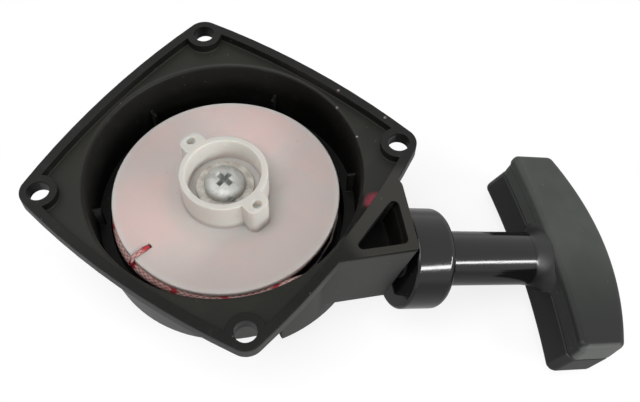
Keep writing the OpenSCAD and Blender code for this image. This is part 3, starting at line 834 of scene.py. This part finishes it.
class Bench:
    """Modelling steps on one object, as by hand."""

    @staticmethod
    def clear() -> None:
        """Leave edit mode and deselect everything."""
        if bpy.context.object is not None and bpy.context.object.mode != "OBJECT":
            bpy.ops.object.mode_set(mode="OBJECT")
        bpy.ops.object.select_all(action="DESELECT")

    @staticmethod
    def take(piece: bpy.types.Object) -> None:
        """Make one object the only selected and active one.

        Args:
            piece: The object.
        """
        Bench.clear()
        piece.select_set(True)
        bpy.context.view_layer.objects.active = piece

    @staticmethod
    def rod(name: str, radius: float, depth: float, middle: float = 0.0) -> bpy.types.Object:
        """Add a round rod along Z.

        Args:
            name: Its name.
            radius: Its radius.
            depth: Its length.
            middle: Height of its middle.

        Returns:
            The rod, to be shaped.
        """
        Bench.clear()
        bpy.ops.mesh.primitive_cylinder_add(vertices=ROUND_SIDES, radius=radius, depth=depth,
                                            end_fill_type="NGON", location=(0, 0, middle))
        made = bpy.context.object
        made.name = name
        return made

    @staticmethod
    @contextmanager
    def editing(piece: bpy.types.Object, kind: str = "FACE") -> Iterator[None]:
        """Enter edit mode on an object with nothing selected, and leave it at the end.

        Args:
            piece: The object.
            kind: Element that is selected, such as FACE.

        Yields:
            Nothing.
        """
        Bench.take(piece)
        bpy.ops.object.mode_set(mode="EDIT")
        bpy.ops.mesh.select_mode(type=kind)
        bpy.ops.mesh.select_all(action="DESELECT")
        yield
        bpy.ops.object.mode_set(mode="OBJECT")

    @staticmethod
    def pick_end(piece: bpy.types.Object, way: float) -> None:
        """Select the faces of the edited object that look along Z.

        Args:
            piece: The object, in edit mode.
            way: 1 for those that look up, -1 for those that look down.
        """
        bpy.ops.object.mode_set(mode="OBJECT")
        mesh = piece.data
        for loose in (mesh.vertices, mesh.edges):
            loose.foreach_set("select", [False] * len(loose))
        mesh.polygons.foreach_set("select", [face.normal.z * way > LEVEL_FACE for face in mesh.polygons])
        bpy.ops.object.mode_set(mode="EDIT")

    @staticmethod
    def draw_out(rise: float, shares: Optional[Span] = None) -> None:
        """Extrude the selected faces along Z and resize their new end.

        Args:
            rise: Length of the step.
            shares: New width and depth as a share of the old ones, where they change.
        """
        bpy.ops.mesh.extrude_region_move(TRANSFORM_OT_translate={"value": (0, 0, rise)})
        if shares is not None:
            bpy.ops.transform.resize(value=(*shares, 1))

    @staticmethod
    def apply(piece: bpy.types.Object, kind: str, **settings: Setting) -> None:
        """Add a modifier and apply it.

        Args:
            piece: The object.
            kind: Type of the modifier.
            settings: Its properties.
        """
        Bench.take(piece)
        added = piece.modifiers.new(kind.lower(), kind)
        for name, value in settings.items():
            setattr(added, name, value)
        bpy.ops.object.modifier_apply(modifier=added.name)

    @staticmethod
    def cut(piece: bpy.types.Object, tool: bpy.types.Object) -> None:
        """Cut a tool's shape out of an object and remove the tool."""
        Bench.apply(piece, "BOOLEAN", operation="DIFFERENCE", solver="EXACT", object=tool)
        bpy.data.objects.remove(tool)

    @staticmethod
    def fix(piece: bpy.types.Object) -> None:
        """Apply the place, turn and scale of an object to its mesh."""
        Bench.take(piece)
        bpy.ops.object.transform_apply(location=True, rotation=True, scale=True)

    @staticmethod
    def settle(piece: bpy.types.Object, smooth: float = 35.0) -> None:
        """Apply the place of an object and smooth its shading.

        Args:
            piece: The object.
            smooth: Angle in degrees up to which edges are shaded smooth.
        """
        Bench.fix(piece)
        bpy.ops.object.shade_smooth_by_angle(angle=math.radians(smooth), keep_sharp_edges=False)
        Bench.clear()


def dress(piece: bpy.types.Object, finish: Finish) -> None:
    """Give an object one finish."""
    piece.data.materials.clear()
    piece.data.materials.append(finish.material())


def mount(piece: bpy.types.Object, body: Body, slot: Slot, finish: Finish, *nodes: str) -> None:
    """Finish a piece and set it on its body.

    Args:
        piece: The object, in place.
        body: Body that it rides on.
        slot: Material slot of the record; not used.
        finish: Its finish.
        nodes: CAD nodes that it stands for.
    """
    dress(piece, finish)
    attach(piece, body.value)
    if nodes:
        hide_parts(*nodes)
    LOG.info("%s on %s, %d faces", piece.name, body.value, len(piece.data.polygons))


@dataclass
class MouldedCopy:
    """A merged copy of a CAD node with its edges broken, as a mould or a tool leaves them.

    Where a vertex strays by more than the stray share of the width, the edges within the spared
    number of widths of it stay sharp. Angles are in degrees.
    """

    node: str
    name: str
    width: float
    angle: float = 32.0
    segments: int = 2
    merge_gap: float = 2e-6
    flat_angle: float = 0.3
    smooth: float = 55.0
    tries: int = 8
    stray: float = 0.5
    spared: float = 3.0

    def merged(self) -> bpy.types.Object:
        """Copy the node and merge its loose triangles.

        Returns:
            The copy, at the origin.
        """
        Bench.clear()
        copy = bpy.data.objects.new(self.name, frame["nodes"][self.node].data.copy())
        bpy.context.scene.collection.objects.link(copy)
        with Bench.editing(copy, "VERT"):
            bpy.ops.mesh.select_all(action="SELECT")
            bpy.ops.mesh.remove_doubles(threshold=self.merge_gap)
            bpy.ops.mesh.customdata_custom_splitnormals_clear()
            bpy.ops.mesh.mark_sharp(clear=True)
            bpy.ops.mesh.dissolve_limited(angle_limit=math.radians(self.flat_angle))
        return copy

    def sharp_edges(self, mesh: bpy.types.Mesh) -> np.ndarray:
        """Weigh the edges of a mesh.

        Args:
            mesh: The merged mesh.

        Returns:
            1 for each edge sharper than the angle, else 0.
        """
        shape = bmesh.new()
        shape.from_mesh(mesh)
        limit = math.radians(self.angle)
        sharp = [edge.is_manifold and edge.calc_face_angle() > limit for edge in shape.edges]
        shape.free()
        return np.array(sharp, float)

    def strays(self, surface: BVHTree, trial: bpy.types.Mesh) -> list[Vector]:
        """Return the points of the surface that a trial left further than a broken edge does."""
        found = (surface.find_nearest(vert.co) for vert in trial.vertices)
        return [spot for spot, _, _, away in found if away > self.stray * self.width]

    def broken(self) -> bpy.types.Object:
        """Break the edges, leaving those sharp that run into each other.

        Returns:
            The finished copy.
        """
        copy = self.merged()
        base = copy.data.copy()
        weights = self.sharp_edges(base)
        ends = np.array([edge.vertices[:] for edge in base.edges])
        corners = [vert.co for vert in base.vertices]
        places = np.array([corner[:] for corner in corners])
        surface = BVHTree.FromPolygons(corners, [face.vertices[:] for face in base.polygons])
        for _ in range(self.tries):
            copy.data = base.copy()
            mark = copy.data.attributes.new("bevel_weight_edge", "FLOAT", "EDGE")
            mark.data.foreach_set("value", weights.astype(np.float32))
            Bench.apply(copy, "BEVEL", width=self.width, segments=self.segments, limit_method="WEIGHT",
                        use_clamp_overlap=False)
            strays = self.strays(surface, copy.data)
            if not strays:
                break
            for spot in strays:
                close = np.linalg.norm(places - np.array(spot), axis=1) < self.spared * self.width
                weights[close[ends].any(axis=1)] = 0.0
        else:
            copy.data = base.copy()
            LOG.info("%s keeps its edges sharp", self.name)
        Bench.settle(copy, self.smooth)
        Bench.apply(copy, "WEIGHTED_NORMAL", keep_sharp=True, weight=50)
        return copy

    def build(self, body: Body, slot: Slot, finish: Finish) -> None:
        """Set the finished copy on its body, in place of its node."""
        mount(self.broken(), body, slot, finish, self.node)


def distances(route: np.ndarray) -> np.ndarray:
    """Return how far along a route each of its points is."""
    return np.concatenate(([0.0], np.cumsum(np.linalg.norm(np.diff(route, axis=0), axis=1))))


@dataclass
class Tube:
    """A rope swept along a route, with the relief of its braid."""

    radius: float = ROPE_R
    relief: float = 0.26 * MM
    lay: float = ROPE_LAY
    strands: int = ROPE_STRANDS
    sides: int = 32
    step: float = 0.32 * MM
    start: float = 0.0

    def even(self, route: np.ndarray) -> np.ndarray:
        """Space the points of a route evenly.

        Args:
            route: Points of the route.

        Returns:
            Points about one step apart.
        """
        far = distances(route)
        count = max(2, round(far[-1] / self.step))
        wanted = np.linspace(0, far[-1], count + 1)
        return np.stack([np.interp(wanted, far, route[:, k]) for k in range(3)], axis=1)

    def frames(self, points: np.ndarray, up: Sequence[float]) -> tuple[np.ndarray, np.ndarray]:
        """Carry a cross-section along a route without twist.

        Args:
            points: Points of the route.
            up: Upward direction at the start.

        Returns:
            The sideways and the upward direction at each point.
        """
        ahead = np.gradient(points, axis=0)
        ahead /= np.linalg.norm(ahead, axis=1)[:, None]
        rises = np.empty_like(points)
        rise = np.array(up, float)
        for k, way in enumerate(ahead):
            rise = rise - way * (rise @ way)
            rise = rise / np.linalg.norm(rise)
            rises[k] = rise
        return np.cross(ahead, rises), rises

    def height(self, lays: np.ndarray, turns: np.ndarray) -> np.ndarray:
        """Work out the height of the braid's strands.

        Args:
            lays: Lays along the rope.
            turns: Turns around it.

        Returns:
            Height between 0 and 1.
        """
        left = (turns - lays) * self.strands
        right = (turns + lays) * self.strands
        even = (np.floor(left) + np.floor(right)) % 2 < 0.5
        left_off = left - np.floor(left) - 0.5
        right_off = right - np.floor(right) - 0.5
        across = np.where(even, left_off, right_off)
        along = np.where(even, right_off, left_off)
        return np.sqrt(1 - 4 * across ** 2) * (1 - STRAND_ARCH * along ** 2)

    def sweep(self, name: str, route: np.ndarray, up: Sequence[float] = (0, 0, 1),
              girth: Optional[Callable[[np.ndarray], np.ndarray]] = None) -> bpy.types.Object:
        """Make the rope's mesh.

        Args:
            name: Name of the object.
            route: Points of the route.
            up: Upward direction at the start of the route.
            girth: Takes the distance along the rope and gives the share of its radius there.

        Returns:
            The object, with lays and turns in its UV map.
        """
        points = self.even(route)
        side, rise = self.frames(points, up)
        far = distances(points)
        turns = np.arange(self.sides) / self.sides
        lays = (self.start + far) / self.lay
        grown = self.radius - self.relief * (1 - self.height(lays[:, None], turns[None, :]))
        if girth is not None:
            grown = grown * girth(far)[:, None]
        ring = (np.cos(math.tau * turns)[None, :, None] * side[:, None, :]
                + np.sin(math.tau * turns)[None, :, None] * rise[:, None, :])
        body = (points[:, None, :] + grown[:, :, None] * ring).reshape(-1, 3)
        verts = np.concatenate((body, points[:1], points[-1:]))
        return self.skin(name, verts, lays, len(points))

    def skin(self, name: str, verts: np.ndarray, lays: np.ndarray, rings: int) -> bpy.types.Object:
        """Join rings of points to a closed mesh with a UV map.

        Args:
            name: Name of the object.
            verts: Points ring by ring, and then the middle of each end.
            lays: Lays along the rope, ring by ring.
            rings: Number of rings.

        Returns:
            The object.
        """
        n = self.sides
        faces: list[tuple[int, ...]] = []
        spots: list[Span] = []
        for k in range(rings - 1):
            here, on = lays[k], lays[k + 1]
            for j in range(n):
                i = (j + 1) % n
                faces.append((k * n + j, k * n + i, (k + 1) * n + i, (k + 1) * n + j))
                spots += [(here, j / n), (here, (j + 1) / n), (on, (j + 1) / n), (on, j / n)]
        first, last = rings * n, rings * n + 1
        for j in range(n):
            i = (j + 1) % n
            faces.append((first, i, j))
            spots += [(lays[0], (j + 0.5) / n), (lays[0], (j + 1) / n), (lays[0], j / n)]
            faces.append((last, (rings - 1) * n + j, (rings - 1) * n + i))
            spots += [(lays[-1], (j + 0.5) / n), (lays[-1], j / n), (lays[-1], (j + 1) / n)]
        mesh = bpy.data.meshes.new(name)
        mesh.from_pydata(verts.tolist(), [], faces)
        mesh.uv_layers.new(name="rope").data.foreach_set("uv", np.array(spots, np.float32).ravel())
        mesh.polygons.foreach_set("use_smooth", [True] * len(mesh.polygons))
        mesh.update()
        rope = bpy.data.objects.new(name, mesh)
        bpy.context.scene.collection.objects.link(rope)
        return rope


@dataclass
class StarterRope:
    """The rope: wound on the reel, led to the eyelet, run through the stem and knotted.

    The bight's marks are millimetres from the bulging turn and from the slit's inner end, each with
    the share of the rise to the top of the slit. Angles that are given are in degrees.
    """

    line: PullLine
    outer_turn_r: float = 32.8 * MM
    inner_turn_r: float = 13.0 * MM
    turn_pitch: float = 3.7 * MM
    first_step: float = 2.4 * MM
    first_turn: float = 0.3
    winding_points: int = 4400
    anchor_run: float = 5.7 * MM
    winding_tail: float = 3.2 * MM
    groove_z: float = -17.0 * MM
    bend_back: float = -6.5 * MM
    bend_ease: float = 1.5 * MM
    bend_room: float = 0.45
    bend_points: int = 13
    straight_back: float = -5.0 * MM
    level_run: float = 12.497 * MM
    stem_share: float = 0.985
    stem_step: float = 0.5 * MM
    thin_sides: int = 24
    tracer_angle: float = -98.1
    slit_angle: float = 212.0
    slit_in: float = 28.2 * MM
    slit_top: float = -13.5 * MM
    squeezed_r: float = 0.9 * MM
    squeezed_lay: float = 8.0 * MM
    squeezed_strands: int = 4
    squeezed_step: float = 0.16 * MM
    thin_relief: float = 0.2 * MM
    bight_out: tuple[Span, ...] = ((0.2, 0.3), (-0.1, 0.7), (-0.9, 0.95), (-2.0, 1.0))
    bight_in: tuple[Span, ...] = ((1.2, 1.0), (0.2, 0.85), (0.0, 0.5))
    bulge: float = 1.25 * MM
    bulge_angle: float = 208.0
    bulge_half: float = 48.0
    bulge_turn: float = 0.7
    knot_washer_far: float = 52.5 * MM
    knot_l: float = 7.04 * MM
    knot_r: float = 3.68 * MM
    knot_rope_r: float = 1.3 * MM
    knot_side_gap: float = 0.05 * MM
    knot_end_gap: float = 0.2 * MM
    knot_turns: float = 1.65
    knot_draw: float = 0.14
    knot_points: int = 260
    melted_r: float = 1.78 * MM
    melted_rise: float = 0.1 * MM
    melted_from: float = 5.75 * MM
    melted_to: float = 8.55 * MM
    melted_root: float = 0.9
    melted_swell: float = 0.4
    melted_round: float = 1.42 * MM
    melted_top: float = 1.02
    melted_least: float = 0.02
    melted_step: float = 0.1 * MM
    melted_relief: float = 0.15 * MM
    turns: float = field(init=False)
    leave_angle: float = field(init=False)

    def __post_init__(self) -> None:
        """Work out how many turns are wound and where the rope leaves them."""
        self.turns = (self.outer_turn_r - self.inner_turn_r - self.first_step) / self.turn_pitch
        bend = self.line.at(self.bend_back)
        away = math.hypot(bend.x, bend.y)
        self.leave_angle = math.atan2(bend.y, bend.x) - math.acos(self.outer_turn_r / away)

    def leave(self, run: float) -> Vector:
        """Return the point at a distance past where the rope leaves the turns."""
        r, cos, sin = self.outer_turn_r, math.cos(self.leave_angle), math.sin(self.leave_angle)
        return Vector((r * cos - run * sin, r * sin + run * cos, self.groove_z))

    def winding_route(self) -> np.ndarray:
        """Lay out the wound turns, the last of them bulging beside the slit.

        Returns:
            Points from the inner end outwards.
        """
        shares = np.linspace(0.0, self.turns, self.winding_points)
        t = np.clip(shares / self.first_turn, 0, 1)
        away = self.inner_turn_r + self.turn_pitch * shares + self.first_step * t * t * (3 - 2 * t)
        angles = self.leave_angle + math.tau * (shares - self.turns)
        last = shares > self.turns - self.bulge_turn
        off = (np.degrees(angles) - self.bulge_angle + 180.0) % 360.0 - 180.0
        away = away + last * self.bulge * np.cos(np.clip(off / self.bulge_half, -1, 1) * math.pi / 2) ** 2
        flat = np.full_like(away, self.groove_z)
        turns = np.stack([away * np.cos(angles), away * np.sin(angles), flat], axis=1)
        inner = turns[0] - self.anchor_run * np.array([-math.sin(angles[0]), math.cos(angles[0]), 0.0])
        return np.concatenate((inner[None], turns, np.array(self.leave(self.winding_tail))[None]))

    def lead_route(self) -> np.ndarray:
        """Lay out the rope from the reel to the seat, with its bends rounded.

        Returns:
            Points from the reel on.
        """
        bend = self.line.at(self.bend_back)
        clear = self.leave(self.level_run)
        before = bend - self.bend_ease * (bend - clear).normalized()
        marks = [self.leave(self.winding_tail), clear, before]
        marks += [self.line.at(along) for along in (self.straight_back, 0.0)]
        points = [np.array(marks[0])]
        for back, here, on in zip(marks, marks[1:], marks[2:]):
            room = min((here - back).length, (on - here).length) * self.bend_room
            a = here - room * (here - back).normalized()
            b = here + room * (on - here).normalized()
            points += [np.array(a * (1 - t) ** 2 + here * 2 * t * (1 - t) + b * t * t)
                       for t in np.linspace(0, 1, self.bend_points)]
        return np.stack(points + [np.array(marks[-1])])

    def tracer_start(self, length: float) -> float:
        """Return where the braid starts for the tracer to show at its angle on a winding of this length."""
        back = (self.leave_angle - math.radians(self.tracer_angle)) % math.tau
        return -(length - self.winding_tail - back * self.outer_turn_r)

    def build(self) -> None:
        """Make every piece of the rope, and set each on its body but the run through the stem."""
        finish = BraidedRope("rope_braid_wound")
        route = self.winding_route()
        length = float(distances(route)[-1])
        tube = Tube(start=self.tracer_start(length))
        mount(tube.sweep("rope_turns", route), Body.REEL, Slot.ROPE_BRAID, finish, "rope_winding")
        tube.start += length
        lead = tube.sweep("rope_to_eyelet", self.lead_route())
        mount(lead, Body.HOUSING, Slot.ROPE_BRAID, finish, "rope_lead")
        self.build_run()
        self.build_knot(finish)
        self.build_melted_end(finish)
        self.build_bight()

    def build_run(self) -> None:
        """Make the run through the stem, along the pull line from the seat to the knot's washer."""
        finish = BraidedRope("rope_braid_run", line=self.line)
        start, end = self.line.at(0.0), self.line.at(self.knot_washer_far)
        level, _ = self.line.across()
        tube = Tube(ROPE_R * self.stem_share, relief=0.0, sides=self.thin_sides, step=self.stem_step)
        run = tube.sweep("rope_through_stem", np.array([start, end]), tuple(level))
        dress(run, finish)
        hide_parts("rope_run")
        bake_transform(run)
        LOG.info("%s between %s and %s", run.name, Body.HOUSING.value, Body.ROPE_END.value)

    def build_bight(self) -> None:
        """Make the bight of rope that is squeezed into the winding slit, where half its strands show."""
        braid = {"lay": self.squeezed_lay, "strands": self.squeezed_strands}
        a = math.radians(self.slit_angle)
        rise = self.slit_top - self.groove_z
        rim = self.outer_turn_r + self.bulge
        marks = [(rim + off * MM, share) for off, share in self.bight_out]
        marks += [(self.slit_in + off * MM, share) for off, share in self.bight_in]
        route = np.array([(r * math.cos(a), r * math.sin(a), self.groove_z + rise * share)
                          for r, share in marks])
        tube = Tube(self.squeezed_r, self.thin_relief, sides=self.thin_sides, step=self.squeezed_step,
                    **braid)
        mount(tube.sweep("rope_bight_in_slit", route), Body.REEL, Slot.ROPE_BRAID,
              BraidedRope("rope_braid_squeezed", **braid))

    def build_knot(self, finish: Finish) -> None:
        """Make the stopper knot in the handle, a coil around the pull line.

        Args:
            finish: The rope's finish.
        """
        level, up = self.line.across()
        coil_r = self.knot_r - self.knot_rope_r - self.knot_side_gap
        t = np.linspace(0.0, 1.0, self.knot_points)
        along = self.knot_washer_far + self.knot_rope_r + (
            self.knot_l - 2 * self.knot_rope_r - self.knot_end_gap) * t
        angle = math.tau * self.knot_turns * t
        draw = coil_r * np.clip(t / self.knot_draw, 0, 1)
        coil = [r * (math.cos(a) * np.array(level) + math.sin(a) * np.array(up)) for r, a in zip(draw, angle)]
        route = np.stack([np.array(self.line.at(s)) + off for s, off in zip(along, coil)])
        tube = Tube(self.knot_rope_r, self.thin_relief, sides=self.thin_sides)
        knot = tube.sweep("handle_stopper_knot", route, tuple(level))
        mount(knot, Body.ROPE_END, Slot.ROPE_BRAID, finish, "handle_knot")

    def melted_girth(self, far: np.ndarray) -> np.ndarray:
        """Swell the melted end and round its tip.

        Args:
            far: Distances along it.

        Returns:
            Shares of its radius.
        """
        length = self.melted_to - self.melted_from
        tip = ((far - length / 2) / self.melted_round).clip(0)
        rounded = np.sqrt(np.maximum(self.melted_top - tip ** 2, self.melted_least))
        return np.minimum(self.melted_root + far / length * self.melted_swell, rounded)

    def build_melted_end(self, finish: Finish) -> None:
        """Make the melted end that holds the rope in the reel.

        Args:
            finish: The rope's finish.
        """
        a = self.leave_angle - math.tau * self.turns
        out = np.array([math.cos(a), math.sin(a), 0.0])
        way = np.array([-math.sin(a), math.cos(a), 0.0])
        root = (self.inner_turn_r + self.melted_rise) * out + np.array([0, 0, self.groove_z])
        route = np.stack([root - far * way for far in (self.melted_from, self.melted_to)])
        tube = Tube(self.melted_r, self.melted_relief, sides=self.thin_sides, step=self.melted_step)
        end = tube.sweep("reel_melted_end", route, girth=self.melted_girth)
        mount(end, Body.REEL, Slot.ROPE_BRAID, finish, "reel_knot")


@dataclass
class CentreScrew:
    """Pan-head screw with a tapered cross recess, and the washer under it. Angles are in degrees."""

    head_r: float = 6.1 * MM
    head_z: float = -9.9 * MM
    edge_h: float = 0.85 * MM
    crown_h: float = 2.55 * MM
    crown_angles: tuple[int, ...] = (0, 10, 20, 30, 40, 50, 60, 70, 80, 86)
    crown_curve: float = 0.8
    shank_r: float = 2.98 * MM
    shank_l: float = 12.0 * MM
    point_from: float = 0.7 * MM
    point_l: float = 0.65 * MM
    point_share: float = 0.8
    recess_l: float = 6.5 * MM
    recess_w: float = 1.95 * MM
    recess_deep: float = 2.3 * MM
    recess_taper: Span = (0.42, 0.5)
    recess_turn: float = 40.0
    cut_over: float = 0.4 * MM
    edge: float = 0.12 * MM
    edge_angle: float = 38.0
    smooth: float = 36.0
    washer_edge: float = 0.15 * MM

    def head(self) -> bpy.types.Object:
        """Raise the head from a disc and draw the shank out of its underside.

        Returns:
            The screw without its recess.
        """
        screw = Bench.rod("centre_pan_screw", self.head_r, self.edge_h, self.head_z + self.edge_h / 2)
        angles = [math.radians(angle) for angle in self.crown_angles]
        with Bench.editing(screw):
            Bench.pick_end(screw, 1)
            wide = 1.0
            for before, angle in zip(angles, angles[1:]):
                share = math.cos(angle) ** self.crown_curve / wide
                Bench.draw_out(self.crown_h * (math.sin(angle) - math.sin(before)), (share, share))
                wide *= share
            Bench.pick_end(screw, -1)
            bpy.ops.mesh.inset(thickness=self.head_r - self.shank_r)
            Bench.draw_out(-(self.shank_l - self.point_from))
            Bench.draw_out(-self.point_l, (self.point_share, self.point_share))
        return screw

    def cutter(self, turn: float) -> bpy.types.Object:
        """Make one tapered wing of the recess.

        Args:
            turn: Angle of the wing.

        Returns:
            The cutting shape.
        """
        Bench.clear()
        top = self.head_z + self.edge_h + self.crown_h + self.cut_over
        deep = self.recess_deep + self.cut_over
        bpy.ops.mesh.primitive_cube_add(size=1, location=(0, 0, top - deep / 2))
        wing = bpy.context.object
        wing.scale = (self.recess_l, self.recess_w, deep)
        with Bench.editing(wing):
            Bench.pick_end(wing, -1)
            bpy.ops.transform.resize(value=(*self.recess_taper, 1))
        wing.rotation_euler.z = math.radians(turn)
        return wing

    def build(self) -> None:
        """Make the screw, cut its recess, and dress the washer."""
        screw = self.head()
        Bench.fix(screw)
        for turn in (self.recess_turn, self.recess_turn + 90.0):
            Bench.cut(screw, self.cutter(turn))
        Bench.apply(screw, "BEVEL", width=self.edge, segments=2, limit_method="ANGLE",
                    angle_limit=math.radians(self.edge_angle), use_clamp_overlap=True)
        Bench.settle(screw, self.smooth)
        mount(screw, Body.HOUSING, Slot.PLATED_STEEL, ZincSteel("zinc_screw"), "centre_screw")
        worn = ZincSteel("zinc_washer", bright=(0.52, 0.50, 0.46), dull=(0.33, 0.30, 0.265))
        washer = MouldedCopy("retaining_washer", "screw_washer", self.washer_edge)
        washer.build(Body.HOUSING, Slot.PLATED_STEEL, worn)


@dataclass
class Housing:
    """Moulded housing with its eyelet, insert and spring."""

    edge: float = 0.22 * MM
    eyelet_edge: float = 0.2 * MM

    def build(self) -> None:
        """Break the moulding's edges and dress the pieces in it."""
        shell = MouldedCopy("housing", "housing_moulding", self.edge)
        shell.build(Body.HOUSING, Slot.HOUSING_NYLON, MouldedNylon("black_nylon"))
        eyelet = MouldedCopy("rope_eyelet", "rope_eyelet_ring", self.eyelet_edge)
        eyelet.build(Body.HOUSING, Slot.PLATED_STEEL, ZincSteel("zinc_eyelet"))
        dress(frame["nodes"]["threaded_insert"], TurnedBrass("turned_brass"))
        dress(frame["nodes"]["recoil_spring"], BluedSteel("blued_spring"))


@dataclass
class Reel:
    """Nylon reel with its drive ring and lugs."""

    edge: float = 0.28 * MM

    def build(self) -> None:
        """Break the moulding's edges and dress it."""
        reel = MouldedCopy("reel", "reel_moulding", self.edge)
        reel.build(Body.REEL, Slot.REEL_NYLON, MilkyNylon("milky_nylon"))


@dataclass
class Handle:
    """T-handle: polished collar and stem that flares into the bar, and a satin cover.

    The flare stands proud of the stem by its skin, and reaches into the bar by its seat.
    """

    line: PullLine
    edge: float = 0.3 * MM
    stem_r: float = 8.0 * MM
    skin: float = 0.06 * MM
    bar_face: float = 48.6 * MM
    flare_start: float = 0.1 * MM
    flare_l: float = 6.5 * MM
    flare_w: float = 5.5 * MM
    flare_seat: float = 1.2 * MM
    flare_wall: float = 1.0 * MM
    flare_steps: int = 10
    smooth: float = 40.0

    def flare(self) -> bpy.types.Object:
        """Draw a disc out along the stem, widen it sideways into the bar and bore it.

        Returns:
            The flare, in place.
        """
        flare = Bench.rod("handle_stem_flare", self.stem_r + self.skin, self.flare_start,
                          -self.flare_start / 2)
        Bench.fix(flare)
        with Bench.editing(flare):
            Bench.pick_end(flare, 1)
            wide, far = 1.0, 0.0
            for k in range(1, self.flare_steps + 1):
                a = math.pi / 2 * k / self.flare_steps
                ahead = self.flare_l * math.sin(a)
                share = 1.0 + self.flare_w * (1.0 - math.cos(a)) / self.stem_r
                Bench.draw_out(ahead - far, (1, share / wide))
                wide, far = share, ahead
            Bench.draw_out(self.flare_seat)
        Bench.cut(flare, Bench.rod("stem_bore", self.stem_r - self.flare_wall, 4 * self.flare_l))
        level, up = self.line.across()
        turned = Matrix((-up, level, self.line.way())).transposed().to_4x4()
        flare.matrix_world = Matrix.Translation(self.line.at(self.bar_face - self.flare_l)) @ turned
        Bench.settle(flare, self.smooth)
        return flare

    def build(self) -> None:
        """Break the edges of both halves, round the stem into the bar and dress them."""
        gloss = GlossPlastic("gloss_black", self.line)
        grip = MouldedCopy("handle_grip", "handle_stem_and_bar", self.edge)
        grip.build(Body.HANDLE, Slot.HANDLE_GLOSS, gloss)
        mount(self.flare(), Body.HANDLE, Slot.HANDLE_GLOSS, gloss)
        cover = MouldedCopy("handle_cover", "handle_bar_cover", self.edge)
        cover.build(Body.HANDLE, Slot.HANDLE_SATIN, SatinPlastic("satin_green_grey"))
        dress(frame["nodes"]["knot_washer"], ZincSteel("zinc_knot_washer"))


@dataclass(frozen=True)
class Lamp:
    """A soft oblong lamp that points at a place."""

    name: str
    place: Point
    aim: Point
    size: Span
    watts: float

    def build(self) -> None:
        """Add the lamp."""
        data = bpy.data.lights.new(self.name, "AREA")
        data.shape = "RECTANGLE"
        data.size, data.size_y = self.size
        data.energy = self.watts
        made = bpy.data.objects.new(self.name, data)
        bpy.context.scene.collection.objects.link(made)
        made.location = self.place
        made.rotation_euler = (Vector(self.aim) - Vector(self.place)).to_track_quat("-Z", "Y").to_euler()


@dataclass
class Studio:
    """Camera at the photograph's angle, plain soft light and a white floor."""

    eye: Point = (0.0005, -0.13851, 0.19647)
    right: Point = (0.9847, -0.1738, 0.0150)
    up: Point = (0.1388, 0.8328, 0.5359)
    lens: float = 47.65
    sensor: float = 36.0
    clip: float = 0.01
    ambient: float = 0.5
    ground: float = 0.15
    horizon: Span = (-0.2, 0.05)
    sheet: Ball = Ball((0.02, -0.003, -0.0445), 0.06, 0.125)
    sheet_r: float = 0.14
    sheet_sides: int = 96
    strip: Lamp = Lamp("side_strip", (0.886, -0.762, 0.462), (0.07, -0.028, -0.024), (0.9, 0.1), 8.5)
    key: Lamp = Lamp("key", (-0.15, -0.14, 0.62), (0.02, 0.0, -0.015), (0.45, 0.45), 2.35)

    def camera(self) -> None:
        """Set up the camera."""
        x = Vector(self.right).normalized()
        z = x.cross(Vector(self.up)).normalized()
        y = z.cross(x)
        data = bpy.data.cameras.new("photo_camera")
        data.sensor_width = self.sensor
        data.sensor_fit = "HORIZONTAL"
        data.lens = self.lens
        data.clip_start = self.clip
        eye = bpy.data.objects.new("photo_camera", data)
        bpy.context.scene.collection.objects.link(eye)
        eye.matrix_world = Matrix.Translation(self.eye) @ Matrix((x, y, z)).transposed().to_4x4()
        bpy.context.scene.camera = eye

    def world(self) -> None:
        """Make the surroundings white to the eye and in reflections, and soft on the object."""
        world = bpy.data.worlds.new("white_room")
        bpy.context.scene.world = world
        world.use_nodes = True
        graph = Graph(world.node_tree)
        rise = graph.parts(graph.coord(Coord.OBJECT))[2]
        seen = graph.seen(self.ground + (1.0 - self.ground) * rise.step(*self.horizon))
        sky = world.node_tree.nodes["Background"]
        graph.put(sky.inputs["Color"], (1.0, 1.0, 1.0))
        graph.put(sky.inputs["Strength"], self.ambient + seen * (1.0 - self.ambient))

    def floor(self) -> None:
        """Lay a round sheet of white paper under the object."""
        Bench.clear()
        bpy.ops.mesh.primitive_circle_add(vertices=self.sheet_sides, radius=self.sheet_r, fill_type="NGON",
                                          location=self.sheet.centre)
        sheet = bpy.context.object
        sheet.name = "paper_floor"
        Bench.settle(sheet)
        dress(sheet, PaperFloor("white_paper", self.sheet))

    def build(self) -> None:
        """Set up everything around the object."""
        bpy.context.scene.view_settings.view_transform = "Standard"
        self.camera()
        self.world()
        self.floor()
        self.strip.build()
        self.key.build()


def main() -> None:
    """Build the starter piece by piece."""
    logging.basicConfig(level=logging.INFO, format="%(message)s")
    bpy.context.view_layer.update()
    line = PullLine.from_frame()
    Studio().build()
    StarterRope(line).build()
    Housing().build()
    Reel().build()
    CentreScrew().build()
    Handle(line).build()


if __name__ == "__main__":
    main()
